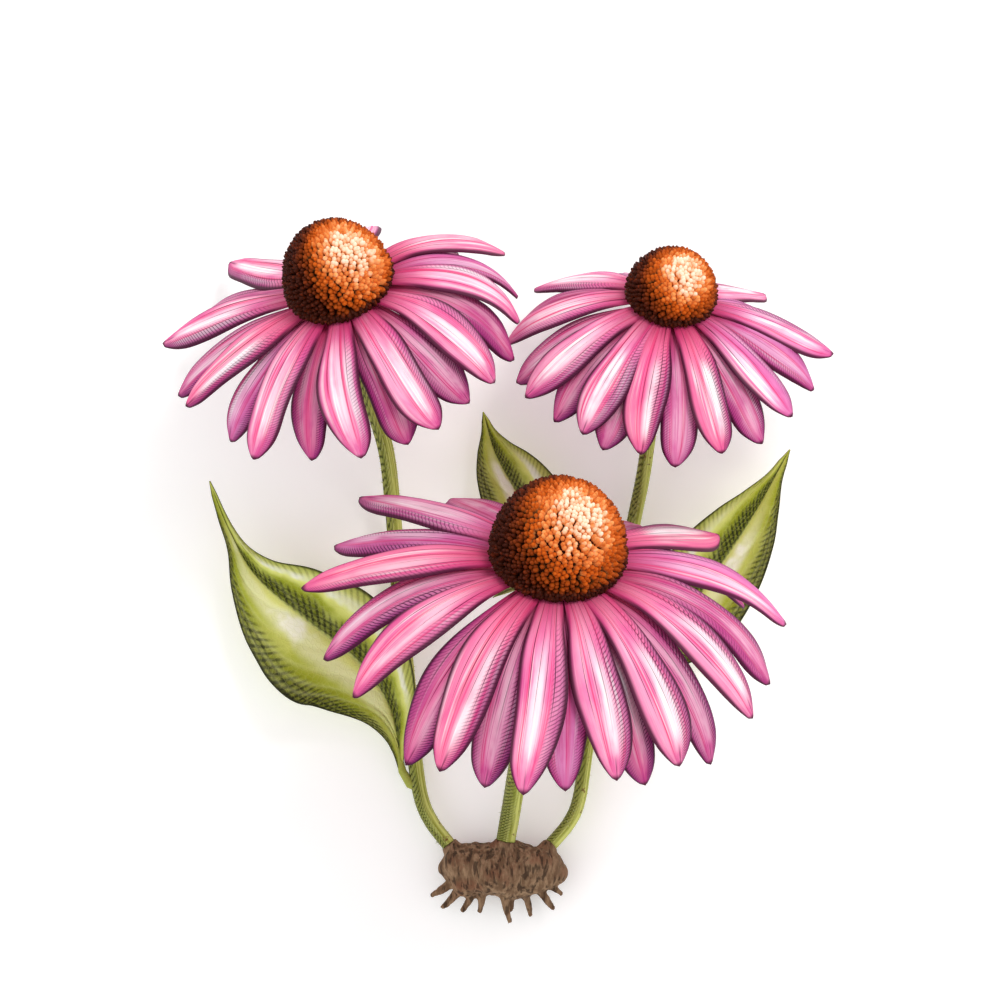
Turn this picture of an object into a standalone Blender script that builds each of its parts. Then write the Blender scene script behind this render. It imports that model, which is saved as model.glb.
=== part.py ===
"""Purple coneflower plant: three flowering stems and three leaves, lying on its back.

World axes: X to the right and Y up as in the drawing, Z away from the surface
that the plant lies on. Plan positions are read off the drawing in its own
pixels and turned to millimetres by one scale. All other lengths are in
millimetres, and meshes are written in metres.
"""

import math
import random

import bmesh
import bpy
from mathutils import Matrix, Vector

# Scale and position
MM = 0.001                    # metres in a millimetre
PIXEL = 0.24                  # millimetres of plant in a pixel of the drawing
ORIGIN_PIXEL = (496.6, 574.4)   # the point of the drawing over the origin
GAP = 0.3                     # clear distance kept between two nodes

# Blades: rays and leaves
RAY_THICKNESS = 0.65
LEAF_THICKNESS = 0.75

# Flower heads
HEAD_TILT = 40.0              # angle of a head's axis above the surface, degrees
COLLAR_HALF = 1.9             # half the height of the ring that the rays grow from
TIER_LIFT = 1.0               # upper rays sit this far above the ring's middle
RAY_RIDGE = 0.35              # height of the two ridges along a ray
RAY_ARCH = 0.7                # how far a ray's edges bend down
RAY_OUTLINE = ((0.0, 0.36), (0.2, 0.64), (0.4, 0.9), (0.6, 1.0), (0.8, 0.84), (1.0, 0.18))

HEADS = {
    "left": {
        "pixel": (345.0, 294.0), "height": 40.0, "rests": True, "lean": -22.0,
        "cone_radius": 13.1, "cone_rise": 16.4, "cone_seat": 4.0,
        "ray_count": 20, "ray_root": 9.0, "ray_length": 43.2, "ray_width": 10.8,
        "first_ray": 0.2, "crowding": 10.2, "crowd_turn": 71.4,
        "rise": 5.3, "back_rise": 26.7,
        "droop": 57.3, "back_droop": -20.2, "side_droop": 21.9, "tier_droop": 1.4,
        "back_stretch": 0.12, "seed": 4654,
    },
    "front": {
        "pixel": (556.0, 566.0), "height": 68.0, "rests": False, "lean": 5.0,
        "cone_radius": 16.2, "cone_rise": 19.0, "cone_seat": 5.0,
        "ray_count": 22, "ray_root": 11.0, "ray_length": 54.2, "ray_width": 12.0,
        "first_ray": 31.0, "crowding": 22.5, "crowd_turn": 101.0,
        "rise": 10.5, "back_rise": 34.0,
        "droop": 52.5, "back_droop": -19.0, "side_droop": 10.0, "tier_droop": 2.1,
        "back_stretch": 0.0, "seed": 1620,
    },
    "right": {
        "pixel": (669.0, 304.5), "height": 35.0, "rests": True, "lean": 10.0,
        "cone_radius": 10.8, "cone_rise": 11.6, "cone_seat": 3.5,
        "ray_count": 20, "ray_root": 7.5, "ray_length": 37.2, "ray_width": 10.0,
        "first_ray": 25.7, "crowding": 19.0, "crowd_turn": 71.0,
        "rise": 0.0, "back_rise": 34.0,
        "droop": 48.0, "back_droop": -10.5, "side_droop": -9.0, "tier_droop": 1.1,
        "back_stretch": 0.0, "seed": 5992,
    },
}

# Cone florets
FLORETS_ROUND = 28            # floret tips and hollows in one ring
FLORET_RINGS = 17
FLORET_REACH = 0.085          # height of a floret's tip, as a part of its ring's radius
CONE_TUCK = 44.0              # how far the cone turns in below its widest ring, degrees

# Stems: points read off the drawing, with their height above the surface
STEMS = {
    "left": {
        "radius": (2.0, 1.7),
        "route": ((367, 385, 28.5), (384, 447, 15.5), (391, 505, 8.0), (398, 600, 5.0),
                  (406, 680, 4.4), (413, 757, 4.4), (420, 802, 5.0), (431, 827, 5.4),
                  (448, 849, 5.8)),
    },
    "front": {
        "radius": (2.4, 2.3),
        "route": ((539, 647, 47.0), (527, 710, 30.5), (519, 765, 16.5), (512, 810, 8.2),
                  (506, 845, 6.8)),
    },
    "right": {
        "radius": (1.7, 1.6),
        "route": ((656, 385, 23.0), (651, 430, 13.5), (645, 475, 7.5), (637, 515, 5.0),
                  (622, 590, 3.8), (605, 680, 3.4), (590, 740, 3.6), (581, 800, 4.6),
                  (571, 826, 5.2), (552, 849, 5.8)),
    },
}
STEM_SAMPLES = 13

# Leaves: midrib from the stem to the tip
OVATE = ((0.0, 0.09), (0.1, 0.13), (0.22, 0.62), (0.38, 1.0), (0.55, 0.97),
         (0.72, 0.70), (0.82, 0.42), (0.9, 0.16), (1.0, 0.04))
TAILED = ((0.0, 0.07), (0.08, 0.12), (0.16, 0.42), (0.28, 0.78), (0.43, 1.0),
          (0.57, 0.80), (0.68, 0.40), (0.77, 0.15), (0.88, 0.07), (1.0, 0.03))
LEAVES = {
    "left": {
        "midrib": ((400, 776, 4.6), (389, 712, 6.5), (355, 662, 8.0), (305, 622, 9.5),
                   (254, 578, 11.0), (226, 530, 13.0), (207, 481, 17.0)),
        "outline": TAILED, "half_width": 18.0, "fold": 25.0, "roll": -13.0,
        "wave": 1.1, "waves": 2.5,
    },
    "middle": {
        "midrib": ((601, 635, 3.6), (578, 590, 5.0), (545, 540, 6.0), (514, 488, 7.0),
                   (494, 450, 9.0), (483, 411, 13.0)),
        "outline": OVATE, "half_width": 10.6, "fold": 18.0, "roll": 6.0,
        "wave": 0.5, "waves": 2.0,
    },
    "right": {
        "midrib": ((612, 702, 3.6), (650, 655, 5.0), (692, 610, 6.5), (731, 555, 8.5),
                   (762, 506, 10.5), (793, 449, 13.0)),
        "outline": OVATE, "half_width": 12.4, "fold": 20.0, "roll": -4.0,
        "wave": 0.7, "waves": 2.0,
    },
}

# Crown
CROWN_PIXEL = (500.0, 875.0)
CROWN_SIZE = (31.0, 14.0, 12.0)
ROOT_COUNT = 9
ROOT_LENGTH = 8.5
ROOT_RADIUS = 1.3
ROOT_SEED = 11

MATERIALS = {
    "ray_pink": ((0.78, 0.16, 0.42), 0.5),
    "cone_orange": ((0.55, 0.19, 0.04), 0.7),
    "leaf_green": ((0.30, 0.38, 0.07), 0.55),
    "stem_green": ((0.38, 0.42, 0.12), 0.55),
    "bract_green": ((0.16, 0.24, 0.05), 0.6),
    "crown_brown": ((0.24, 0.15, 0.08), 0.85),
}


def at(x, y, height=0.0):
    """Point over pixel (x, y) of the drawing, in millimetres."""
    return Vector(((x - ORIGIN_PIXEL[0]) * PIXEL, (ORIGIN_PIXEL[1] - y) * PIXEL, height))


def blend(table, position):
    """Value of a (position, value) table, on straight lines between its entries."""
    for (left, low), (right, high) in zip(table, table[1:]):
        if position <= right:
            step = (position - left) / (right - left)
            return low + (high - low) * step
    return table[-1][1]


def along(points, position):
    """Point at position 0 to 1 on the smooth curve through the points."""
    count = len(points) - 1
    index = min(int(position * count), count - 1)
    step = position * count - index
    before = points[max(index - 1, 0)]
    start = points[index]
    end = points[index + 1]
    after = points[min(index + 2, count)]
    slope_in = (end - before) * 0.5
    slope_out = (after - start) * 0.5
    return (start * (2 * step**3 - 3 * step**2 + 1)
            + slope_in * (step**3 - 2 * step**2 + step)
            + end * (3 * step**2 - 2 * step**3)
            + slope_out * (step**3 - step**2))


def make_material(name):
    colour, roughness = MATERIALS[name]
    material = bpy.data.materials.new(name)
    material.use_nodes = True
    shader = material.node_tree.nodes["Principled BSDF"]
    shader.inputs["Base Color"].default_value = (*colour, 1.0)
    shader.inputs["Roughness"].default_value = roughness
    shader.inputs["Metallic"].default_value = 0.0
    material.diffuse_color = (*colour, 1.0)
    return material


def add_object(name, bm, collection, material=None):
    """Object in metres from a bmesh drawn in millimetres."""
    bmesh.ops.scale(bm, vec=(MM, MM, MM), verts=bm.verts)
    mesh = bpy.data.meshes.new(name)
    bm.to_mesh(mesh)
    bm.free()
    mesh.shade_smooth()
    mesh.set_sharp_from_angle(angle=math.radians(40))
    if material:
        mesh.materials.append(material)
    piece = bpy.data.objects.new(name, mesh)
    collection.objects.link(piece)
    return piece


def add_blade(name, rows, columns, place, thickness, collection, material=None):
    """Thin sheet: place(s, t) gives its middle surface, s along it and t across."""
    bm = bmesh.new()
    bmesh.ops.create_grid(bm, x_segments=rows, y_segments=columns, size=0.5)
    for vert in bm.verts:
        vert.co = place(vert.co.x + 0.5, vert.co.y * 2.0)
    bmesh.ops.triangulate(bm, faces=bm.faces[:])
    piece = add_object(name, bm, collection, material)
    sheet = piece.modifiers.new("Thickness", "SOLIDIFY")
    sheet.thickness = thickness * MM
    sheet.offset = 0.0
    sheet.use_even_offset = True
    return piece


def settle_mesh(piece):
    """Keep an object's evaluated mesh as its own, welded and without modifiers."""
    depsgraph = bpy.context.evaluated_depsgraph_get()
    mesh = bpy.data.meshes.new_from_object(piece.evaluated_get(depsgraph))
    bm = bmesh.new()
    bm.from_mesh(mesh)
    bmesh.ops.remove_doubles(bm, verts=bm.verts[:], dist=0.000002)
    bmesh.ops.dissolve_degenerate(bm, edges=bm.edges[:], dist=0.000002)
    bmesh.ops.triangulate(bm, faces=bm.faces[:])
    bm.to_mesh(mesh)
    bm.free()
    piece.modifiers.clear()
    piece.data = mesh


def fuse(base, pieces):
    """Join loose pieces to the base with one Boolean union and remove them."""
    group = bpy.data.collections.new(base.name + "_pieces")
    bpy.context.scene.collection.children.link(group)
    for piece in pieces:
        for owner in list(piece.users_collection):
            owner.objects.unlink(piece)
        group.objects.link(piece)
    union = base.modifiers.new("Fuse", "BOOLEAN")
    union.operation = "UNION"
    union.operand_type = "COLLECTION"
    union.collection = group
    union.solver = "EXACT"
    settle_mesh(base)
    for piece in pieces:
        bpy.data.objects.remove(piece)
    bpy.data.collections.remove(group)


def head_axes(head):
    """The head's axis, its right-hand direction and its back direction."""
    tilt = math.radians(HEAD_TILT)
    lean = math.radians(head["lean"])
    axis = Vector((math.sin(lean) * math.cos(tilt), math.cos(lean) * math.cos(tilt), math.sin(tilt)))
    right = Vector((math.cos(lean), -math.sin(lean), 0.0))
    return axis, right, axis.cross(right)


def head_matrix(head, centre):
    """Matrix that stands a piece drawn round Z on the head's own axis."""
    axis, right, back = head_axes(head)
    rotation = Matrix((right, back, axis)).transposed().to_4x4()
    return Matrix.Translation(centre) @ rotation


def ray_rule(head):
    """Direction, rise at the root, droop at the tip, length, roll and tier of each ray."""
    draw = random.Random(head["seed"])
    rays = []
    for index in range(head["ray_count"]):
        even = head["first_ray"] + 360.0 * index / head["ray_count"]
        crowd = head["crowding"] * math.sin(math.radians(even - head["crowd_turn"]))
        turn = even + crowd + draw.uniform(-4.0, 4.0)
        sag = draw.uniform(0.0, 5.0) + head["tier_droop"]
        upper = index % 2 == 0
        droop = head["droop"] + (-sag if upper else sag)
        back = math.sin(math.radians(turn))
        droop += head["back_droop"] * back + head["side_droop"] * math.cos(math.radians(turn))
        rise = head["rise"] - head["back_rise"] * max(back, 0.0)
        length = head["ray_length"] * (draw.uniform(0.955, 1.045) + head["back_stretch"] * back)
        rays.append((turn, rise, droop, length, draw.uniform(-4.0, 4.0), upper))
    return rays


def ray_surface(head, ray):
    """Function that places a ray's points round the head's own Z axis."""
    turn, rise, droop, length, roll, upper = ray
    outward = Vector((math.cos(math.radians(turn)), math.sin(math.radians(turn)), 0.0))
    side = Vector((-outward.y, outward.x, 0.0))
    start = math.radians(rise)
    bend = math.radians(-droop) - start
    lift = TIER_LIFT if upper else -TIER_LIFT

    def place(s, t):
        s = s - 0.05 * abs(t) * s**4
        angle = start + bend * s
        reach = head["ray_root"] - 1.5 + length * (math.sin(angle) - math.sin(start)) / bend
        height = lift - length * (math.cos(angle) - math.cos(start)) / bend
        normal = Vector((0.0, 0.0, 1.0)) * math.cos(angle) - outward * math.sin(angle)
        lean = math.radians(roll) * s
        across = side * math.cos(lean) + normal * math.sin(lean)
        half_width = 0.5 * head["ray_width"] * blend(RAY_OUTLINE, s)
        ridge = RAY_RIDGE * math.sin(math.pi * abs(t)) * min(1.0, 4.0 * s)
        bow = ridge - RAY_ARCH * t * t * math.sin(math.pi * min(s, 0.7))
        return outward * reach + Vector((0.0, 0.0, height)) + across * (half_width * t) + normal * bow

    return place


def make_rays(name, head, collection, material):
    """Ring of rays in two tiers, fused to the thin collar that they grow from."""
    bm = bmesh.new()
    bmesh.ops.create_cone(bm, cap_ends=True, segments=head["ray_count"],
                          radius1=head["ray_root"] + 0.6, radius2=head["ray_root"] + 0.6,
                          depth=2.0 * COLLAR_HALF)
    collar = add_object("rays_" + name, bm, collection, material)
    pieces = []
    for index, ray in enumerate(ray_rule(head)):
        pieces.append(add_blade(f"ray_{name}_{index}", 5, 4, ray_surface(head, ray),
                                RAY_THICKNESS, collection))
    fuse(collar, pieces)
    return collar


def floret_ring(head, ring):
    """Radius and height of one ring of the cone's surface above the rays' plane."""
    radius = head["cone_radius"] / (1.0 + FLORET_REACH)
    seat = head["cone_seat"]
    base = COLLAR_HALF + GAP
    if ring <= 0:
        return 0.0, base
    if ring >= FLORET_RINGS:
        return 0.0, seat + head["cone_rise"]
    tuck = math.radians(CONE_TUCK)
    lowest = -math.asinh(math.tan(tuck))
    spread = lowest + (2.9 - lowest) * (ring - 1) / (FLORET_RINGS - 2)
    rise = math.atan(math.sinh(spread))
    reach = head["cone_rise"] if rise > 0.0 else (seat - base) / math.sin(tuck)
    return radius * math.cos(rise), seat + reach * math.sin(rise)


def make_cone(name, head, collection, material):
    """Domed head whose florets stand out as rows of points round a tucked-in base."""
    bm = bmesh.new()
    bmesh.ops.create_uvsphere(bm, u_segments=FLORETS_ROUND, v_segments=FLORET_RINGS, radius=1.0)
    low = set()
    for vert in bm.verts:
        ring = round((1.0 - math.acos(max(-1.0, min(1.0, vert.co.z))) / math.pi) * FLORET_RINGS)
        step = round(math.atan2(vert.co.y, vert.co.x) / (2.0 * math.pi) * FLORETS_ROUND)
        radius, height = floret_ring(head, ring)
        turn = 2.0 * math.pi * step / FLORETS_ROUND
        outward = Vector((math.cos(turn), math.sin(turn), 0.0))
        point = outward * radius + Vector((0.0, 0.0, height))
        if (ring + step) % 2 == 1 and 1 < ring < FLORET_RINGS:
            dome = (point - Vector((0.0, 0.0, head["cone_seat"]))).normalized()
            point += (dome + Vector((0.0, 0.0, 0.3))) * (radius * FLORET_REACH + 0.1)
        else:
            low.add(vert)
        vert.co = point
    for face in bm.faces[:]:
        valley = [vert for vert in face.verts if vert in low]
        if len(face.verts) == 4 and len(valley) == 2:
            bmesh.utils.face_split(face, valley[0], valley[1])
    bmesh.ops.triangulate(bm, faces=bm.faces[:])
    return add_object("cone_" + name, bm, collection, material)


def make_bracts(name, head, collection, material):
    """Green cup under the rays, with two rows of pointed bracts bent back."""
    top = -COLLAR_HALF - GAP
    depth = 0.55 * head["cone_radius"]
    cup_radius = head["ray_root"] - 0.5
    foot_radius = STEMS[name]["radius"][0] + 0.8
    bm = bmesh.new()
    bmesh.ops.create_cone(bm, cap_ends=True, segments=18, radius1=foot_radius, radius2=cup_radius,
                          depth=depth, matrix=Matrix.Translation((0.0, 0.0, top - 0.5 * depth)))
    cup = add_object("bracts_" + name, bm, collection, material)
    pieces = []
    for row, (count, level, droop) in enumerate(((11, 0.22, 34.0), (9, 0.6, 50.0))):
        root = cup_radius + (foot_radius - cup_radius) * level
        for index in range(count):
            bm = bmesh.new()
            bmesh.ops.create_cone(bm, cap_ends=True, segments=4, radius1=1.0, radius2=0.06, depth=1.0,
                                  matrix=Matrix.Translation((0.0, 0.0, 0.5)))
            size = Matrix.Diagonal((1.7, 0.7, 0.62 * head["cone_radius"], 1.0))
            bmesh.ops.transform(bm, matrix=size, verts=bm.verts)
            lay = Matrix.Rotation(math.radians(90.0 + droop), 4, "X")
            reach = Matrix.Translation((0.0, 1.6 - root, top - depth * level))
            turn = Matrix.Rotation(2.0 * math.pi * (index + 0.5 * row) / count, 4, "Z")
            bmesh.ops.transform(bm, matrix=turn @ reach @ lay, verts=bm.verts)
            pieces.append(add_object(f"bract_{name}_{row}_{index}", bm, collection))
    fuse(cup, pieces)
    return cup


def make_stem(name, head, centre, collection, material):
    """Round stem from the head's cup down to the crown."""
    axis = head_axes(head)[0]
    depth = COLLAR_HALF + 2.0 * GAP + 0.55 * head["cone_radius"]
    top = centre - axis * depth
    route = [top, top - axis * 6.0]
    route += [at(*point) for point in STEMS[name]["route"]]
    upper, lower = STEMS[name]["radius"]
    curve = bpy.data.curves.new("stem_" + name, "CURVE")
    curve.dimensions = "3D"
    curve.bevel_depth = MM
    curve.bevel_resolution = 2
    curve.use_fill_caps = True
    spline = curve.splines.new("POLY")
    spline.points.add(STEM_SAMPLES)
    for index, point in enumerate(spline.points):
        position = index / STEM_SAMPLES
        point.co = (*(along(route, position) * MM), 1.0)
        point.radius = upper + (lower - upper) * position
    stem = bpy.data.objects.new("stem_" + name, curve)
    curve.materials.append(material)
    collection.objects.link(stem)
    return stem


def leaf_surface(leaf):
    """Function that places a leaf's points about its midrib."""
    midrib = [at(*point) for point in leaf["midrib"]]
    up = Vector((0.0, 0.0, 1.0))

    def place(s, t):
        tangent = (along(midrib, min(s + 0.02, 1.0)) - along(midrib, max(s - 0.02, 0.0))).normalized()
        side = up.cross(tangent).normalized()
        roll = Matrix.Rotation(math.radians(leaf["roll"]) * min(1.0, 5.0 * s), 3, tangent)
        side = roll @ side
        normal = tangent.cross(side)
        fold = math.radians(leaf["fold"])
        reach = leaf["half_width"] * blend(leaf["outline"], s) * abs(t)
        wave = leaf["wave"] * math.sin(2.0 * math.pi * leaf["waves"] * s + t) * t * t * math.sin(math.pi * s)
        across = side * math.cos(fold) * (1.0 if t > 0.0 else -1.0) + normal * math.sin(fold)
        return along(midrib, s) + across * reach + normal * wave

    return place


def make_leaf(name, collection, material):
    """Folded, waved blade with a short stalk and a long point."""
    return add_blade("leaf_" + name, 14, 6, leaf_surface(LEAVES[name]), LEAF_THICKNESS,
                     collection, material)


def root_rule():
    """Start, direction and length of each short cut root round the crown's lower edge."""
    draw = random.Random(ROOT_SEED)
    roots = []
    for index in range(ROOT_COUNT):
        turn = math.radians(200.0 + 140.0 * (index + 0.5) / ROOT_COUNT + draw.uniform(-5.0, 5.0))
        start = at(*CROWN_PIXEL, draw.uniform(3.4, 6.0))
        start += Vector((0.36 * CROWN_SIZE[0] * math.cos(turn), 0.3 * CROWN_SIZE[1] * math.sin(turn), 0.0))
        slope = draw.uniform(-0.2, 0.05)
        direction = Vector((math.cos(turn), 1.3 * math.sin(turn), slope)).normalized()
        roots.append((start, direction, ROOT_LENGTH * draw.uniform(0.75, 1.25)))
    return roots


def make_crown(collection, material):
    """Knotty woody base that the three stems rise from, flat where it lies."""
    bm = bmesh.new()
    bmesh.ops.create_uvsphere(bm, u_segments=20, v_segments=10, radius=1.0)
    half = Vector(CROWN_SIZE) * 0.5
    centre = at(*CROWN_PIXEL)
    for vert in bm.verts:
        knot = 1.0 + 0.09 * math.sin(5.0 * vert.co.x + 2.0) * math.cos(4.0 * vert.co.y + 1.0)
        knot += 0.06 * math.sin(9.0 * vert.co.x + 3.0 * vert.co.z)
        point = Vector((vert.co.x * half.x, vert.co.y * half.y, vert.co.z * half.z)) * knot
        vert.co = centre + Vector((point.x, point.y, max(0.0, point.z + 0.45 * CROWN_SIZE[2])))
    crown = add_object("crown", bm, collection, material)
    pieces = []
    for name, stem in STEMS.items():
        end = at(*stem["route"][-1])
        before = at(*stem["route"][-2])
        direction = (end - before).normalized()
        radius = stem["radius"][1] + 0.7
        bm = bmesh.new()
        bmesh.ops.create_cone(bm, cap_ends=True, segments=12, radius1=radius + 0.6, radius2=radius,
                              depth=9.0)
        turn = (-direction).to_track_quat("Z", "Y").to_matrix().to_4x4()
        middle = end + direction * (4.5 + GAP)
        bmesh.ops.transform(bm, matrix=Matrix.Translation(middle) @ turn, verts=bm.verts)
        pieces.append(add_object("neck_" + name, bm, collection))
    for index, (start, direction, length) in enumerate(root_rule()):
        bm = bmesh.new()
        bmesh.ops.create_cone(bm, cap_ends=True, segments=7, radius1=ROOT_RADIUS,
                              radius2=0.35 * ROOT_RADIUS, depth=length)
        turn = direction.to_track_quat("Z", "Y").to_matrix().to_4x4()
        middle = start + direction * (0.5 * length)
        bmesh.ops.transform(bm, matrix=Matrix.Translation(middle) @ turn, verts=bm.verts)
        pieces.append(add_object(f"root_{index}", bm, collection))
    fuse(crown, pieces)
    return crown


def lowest_point(piece):
    return min(vert.co.z for vert in piece.data.vertices) / MM


def main():
    for old in list(bpy.data.objects):
        bpy.data.objects.remove(old)
    plant = bpy.data.collections.new("purple_coneflower_plant")
    bpy.context.scene.collection.children.link(plant)
    materials = {name: make_material(name) for name in MATERIALS}

    for name, head in HEADS.items():
        centre = at(*head["pixel"], head["height"])
        rays = make_rays(name, head, plant, materials["ray_pink"])
        rays.data.transform(head_matrix(head, Vector()))
        if head["rests"]:
            centre.z = -lowest_point(rays)
        place = head_matrix(head, centre * MM)
        rays.matrix_world = Matrix.Translation(centre * MM)
        cone = make_cone(name, head, plant, materials["cone_orange"])
        cone.matrix_world = place
        bracts = make_bracts(name, head, plant, materials["bract_green"])
        bracts.matrix_world = place
        make_stem(name, head, centre, plant, materials["stem_green"])
    for name in LEAVES:
        make_leaf(name, plant, materials["leaf_green"])
    make_crown(plant, materials["crown_brown"])


main()
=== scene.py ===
"""Purple coneflower plant: three blooms, three leaves, stems and crown, dressed for its looks.

Lengths in the tables are millimetres, as the plant's maker would read them off
a ruler, and every mesh is written in metres.
"""

import math
import random

import bmesh
import bpy
from bpy.props import FloatProperty, FloatVectorProperty, IntProperty, PointerProperty
from mathutils import Matrix, Vector, noise


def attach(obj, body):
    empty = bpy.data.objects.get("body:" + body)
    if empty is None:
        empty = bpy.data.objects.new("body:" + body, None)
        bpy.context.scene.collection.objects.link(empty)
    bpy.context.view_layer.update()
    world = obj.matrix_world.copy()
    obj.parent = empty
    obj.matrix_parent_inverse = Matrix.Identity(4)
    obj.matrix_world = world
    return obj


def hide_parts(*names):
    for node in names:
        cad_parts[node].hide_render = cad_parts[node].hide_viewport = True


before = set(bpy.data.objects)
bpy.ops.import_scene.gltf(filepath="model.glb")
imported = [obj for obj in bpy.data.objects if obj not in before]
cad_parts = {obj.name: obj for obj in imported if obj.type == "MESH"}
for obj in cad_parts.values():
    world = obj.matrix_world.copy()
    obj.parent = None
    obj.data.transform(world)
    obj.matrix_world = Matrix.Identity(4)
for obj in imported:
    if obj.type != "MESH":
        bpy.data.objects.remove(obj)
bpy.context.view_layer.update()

bl_info = {
    "name": "Purple Coneflower Plant",
    "version": (1, 0, 0),
    "blender": (4, 5, 0),
    "location": "View3D > Sidebar > Coneflower",
    "description": "Builds a purple coneflower plant piece by piece round its fixed solids",
    "category": "Add Mesh",
}

MM = 0.001

# The drawing: millimetres to one of its pixels, and the pixel over the frame's origin
PIXEL = 0.24
ORIGIN_PIXEL = (496.6, 574.4)
UP = Vector((0.0, 0.0, 1.0))
# Direction of the cones' painted light: florets that face it get a painted highlight, the others
# painted shade
PAINTED_LIGHT_DIRECTION = Vector((0.36, 0.36, 0.86)).normalized()

# Heads: the rays stand on a collar, in two tiers, and the cone sits on the collar
HEAD_TILT = 40.0
COLLAR_HALF = 1.9
TIER_LIFT = 1.0
RAY_RIDGE = 0.35
RAY_ARCH = 0.7
TIP_START = 0.86
TIP_CROWDING = 0.55
RAY_OUTLINE = ((0.0, 0.34), (0.2, 0.62), (0.4, 0.9), (0.6, 1.0), (0.78, 0.9),
               (0.9, 0.68), (1.0, 0.42))
CONE_BASE = COLLAR_HALF + 0.3
CONE_TUCK = 44.0
GOLDEN_TURN = math.radians(137.50776)
SPINE_PROFILE = ((0.0, -0.35), (0.5, -0.35), (0.52, 0.1), (0.47, 0.48), (0.33, 0.76),
                 (0.14, 0.94), (0.0, 1.0))
CUP_DEPTH = 0.55
BRACT_COUNT = 34
BRACT_OUTLINE = ((0.0, 0.8), (0.25, 1.0), (0.55, 0.8), (0.8, 0.4), (1.0, 0.03))

# Faces along and round the stems and over the leaves, and the step that slopes are taken over
STEM_RINGS = 90
STEM_SIDES = 28
LEAF_ROWS = 110
LEAF_COLUMNS = 48
SPAN = 0.001

# Finer values, in metres: stem hairs, the crown's one skin and how far light goes in
HAIR_RADIUS = 0.00006
KNIT_VOXEL = 0.0004
KNIT_PASSES = 5
RAY_DEPTHS = (0.0012, 0.0006, 0.0008)
GREEN_DEPTHS = (0.0006, 0.001, 0.0003)

# Colours of small marks
STEM_FLECK = (0.12, 0.03, 0.015)
BARK_CRACK = (0.03, 0.015, 0.007)
FLOOR_TOOTH = (0.7, 0.7, 0.68)

# Stage
FLOOR_HALF = 4000.0
FLOOR_DROP = 0.05
CAMERA_HEIGHT = 2540.0

HEADS = {
    "left": {
        "pixel": (345.0, 294.0), "height": 54.298, "lean": -22.0,
        "cone_radius": 13.1, "cone_rise": 16.4, "cone_seat": 4.0, "florets": 1350,
        "ray_count": 20, "ray_root": 9.0, "ray_length": 43.2, "ray_width": 10.8,
        "first_ray": 0.2, "crowding": 10.2, "crowd_turn": 71.4,
        "rise": 5.3, "back_rise": 26.7,
        "droop": 57.3, "back_droop": -20.2, "side_droop": 21.9, "tier_droop": 1.4,
        "back_stretch": 0.12, "seed": 4654,
    },
    "front": {
        "pixel": (556.0, 566.0), "height": 68.0, "lean": 5.0,
        "cone_radius": 16.2, "cone_rise": 19.0, "cone_seat": 5.0, "florets": 2000,
        "ray_count": 22, "ray_root": 11.0, "ray_length": 54.2, "ray_width": 12.0,
        "first_ray": 31.0, "crowding": 22.5, "crowd_turn": 101.0,
        "rise": 10.5, "back_rise": 34.0,
        "droop": 52.5, "back_droop": -19.0, "side_droop": 10.0, "tier_droop": 2.1,
        "back_stretch": 0.0, "seed": 1620,
    },
    "right": {
        "pixel": (669.0, 304.5), "height": 43.092, "lean": 10.0,
        "cone_radius": 10.8, "cone_rise": 11.6, "cone_seat": 3.5, "florets": 950,
        "ray_count": 20, "ray_root": 7.5, "ray_length": 37.2, "ray_width": 10.0,
        "first_ray": 25.7, "crowding": 19.0, "crowd_turn": 71.0,
        "rise": 0.0, "back_rise": 34.0,
        "droop": 48.0, "back_droop": -10.5, "side_droop": -9.0, "tier_droop": 1.1,
        "back_stretch": 0.0, "seed": 5992,
    },
}

STEMS = {
    "left": {
        "radius": (2.0, 1.7),
        "route": ((367, 385, 28.5), (384, 447, 15.5), (391, 505, 8.0), (398, 600, 5.0),
                  (406, 680, 4.4), (413, 757, 4.4), (420, 802, 5.0), (431, 827, 5.4),
                  (448, 849, 5.8)),
    },
    "front": {
        "radius": (2.4, 2.3),
        "route": ((539, 647, 47.0), (527, 710, 30.5), (519, 765, 16.5), (512, 810, 8.2),
                  (506, 845, 6.8)),
    },
    "right": {
        "radius": (1.7, 1.6),
        "route": ((656, 385, 23.0), (651, 430, 13.5), (645, 475, 7.5), (637, 515, 5.0),
                  (622, 590, 3.8), (605, 680, 3.4), (590, 740, 3.6), (581, 800, 4.6),
                  (571, 826, 5.2), (552, 849, 5.8)),
    },
}

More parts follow.
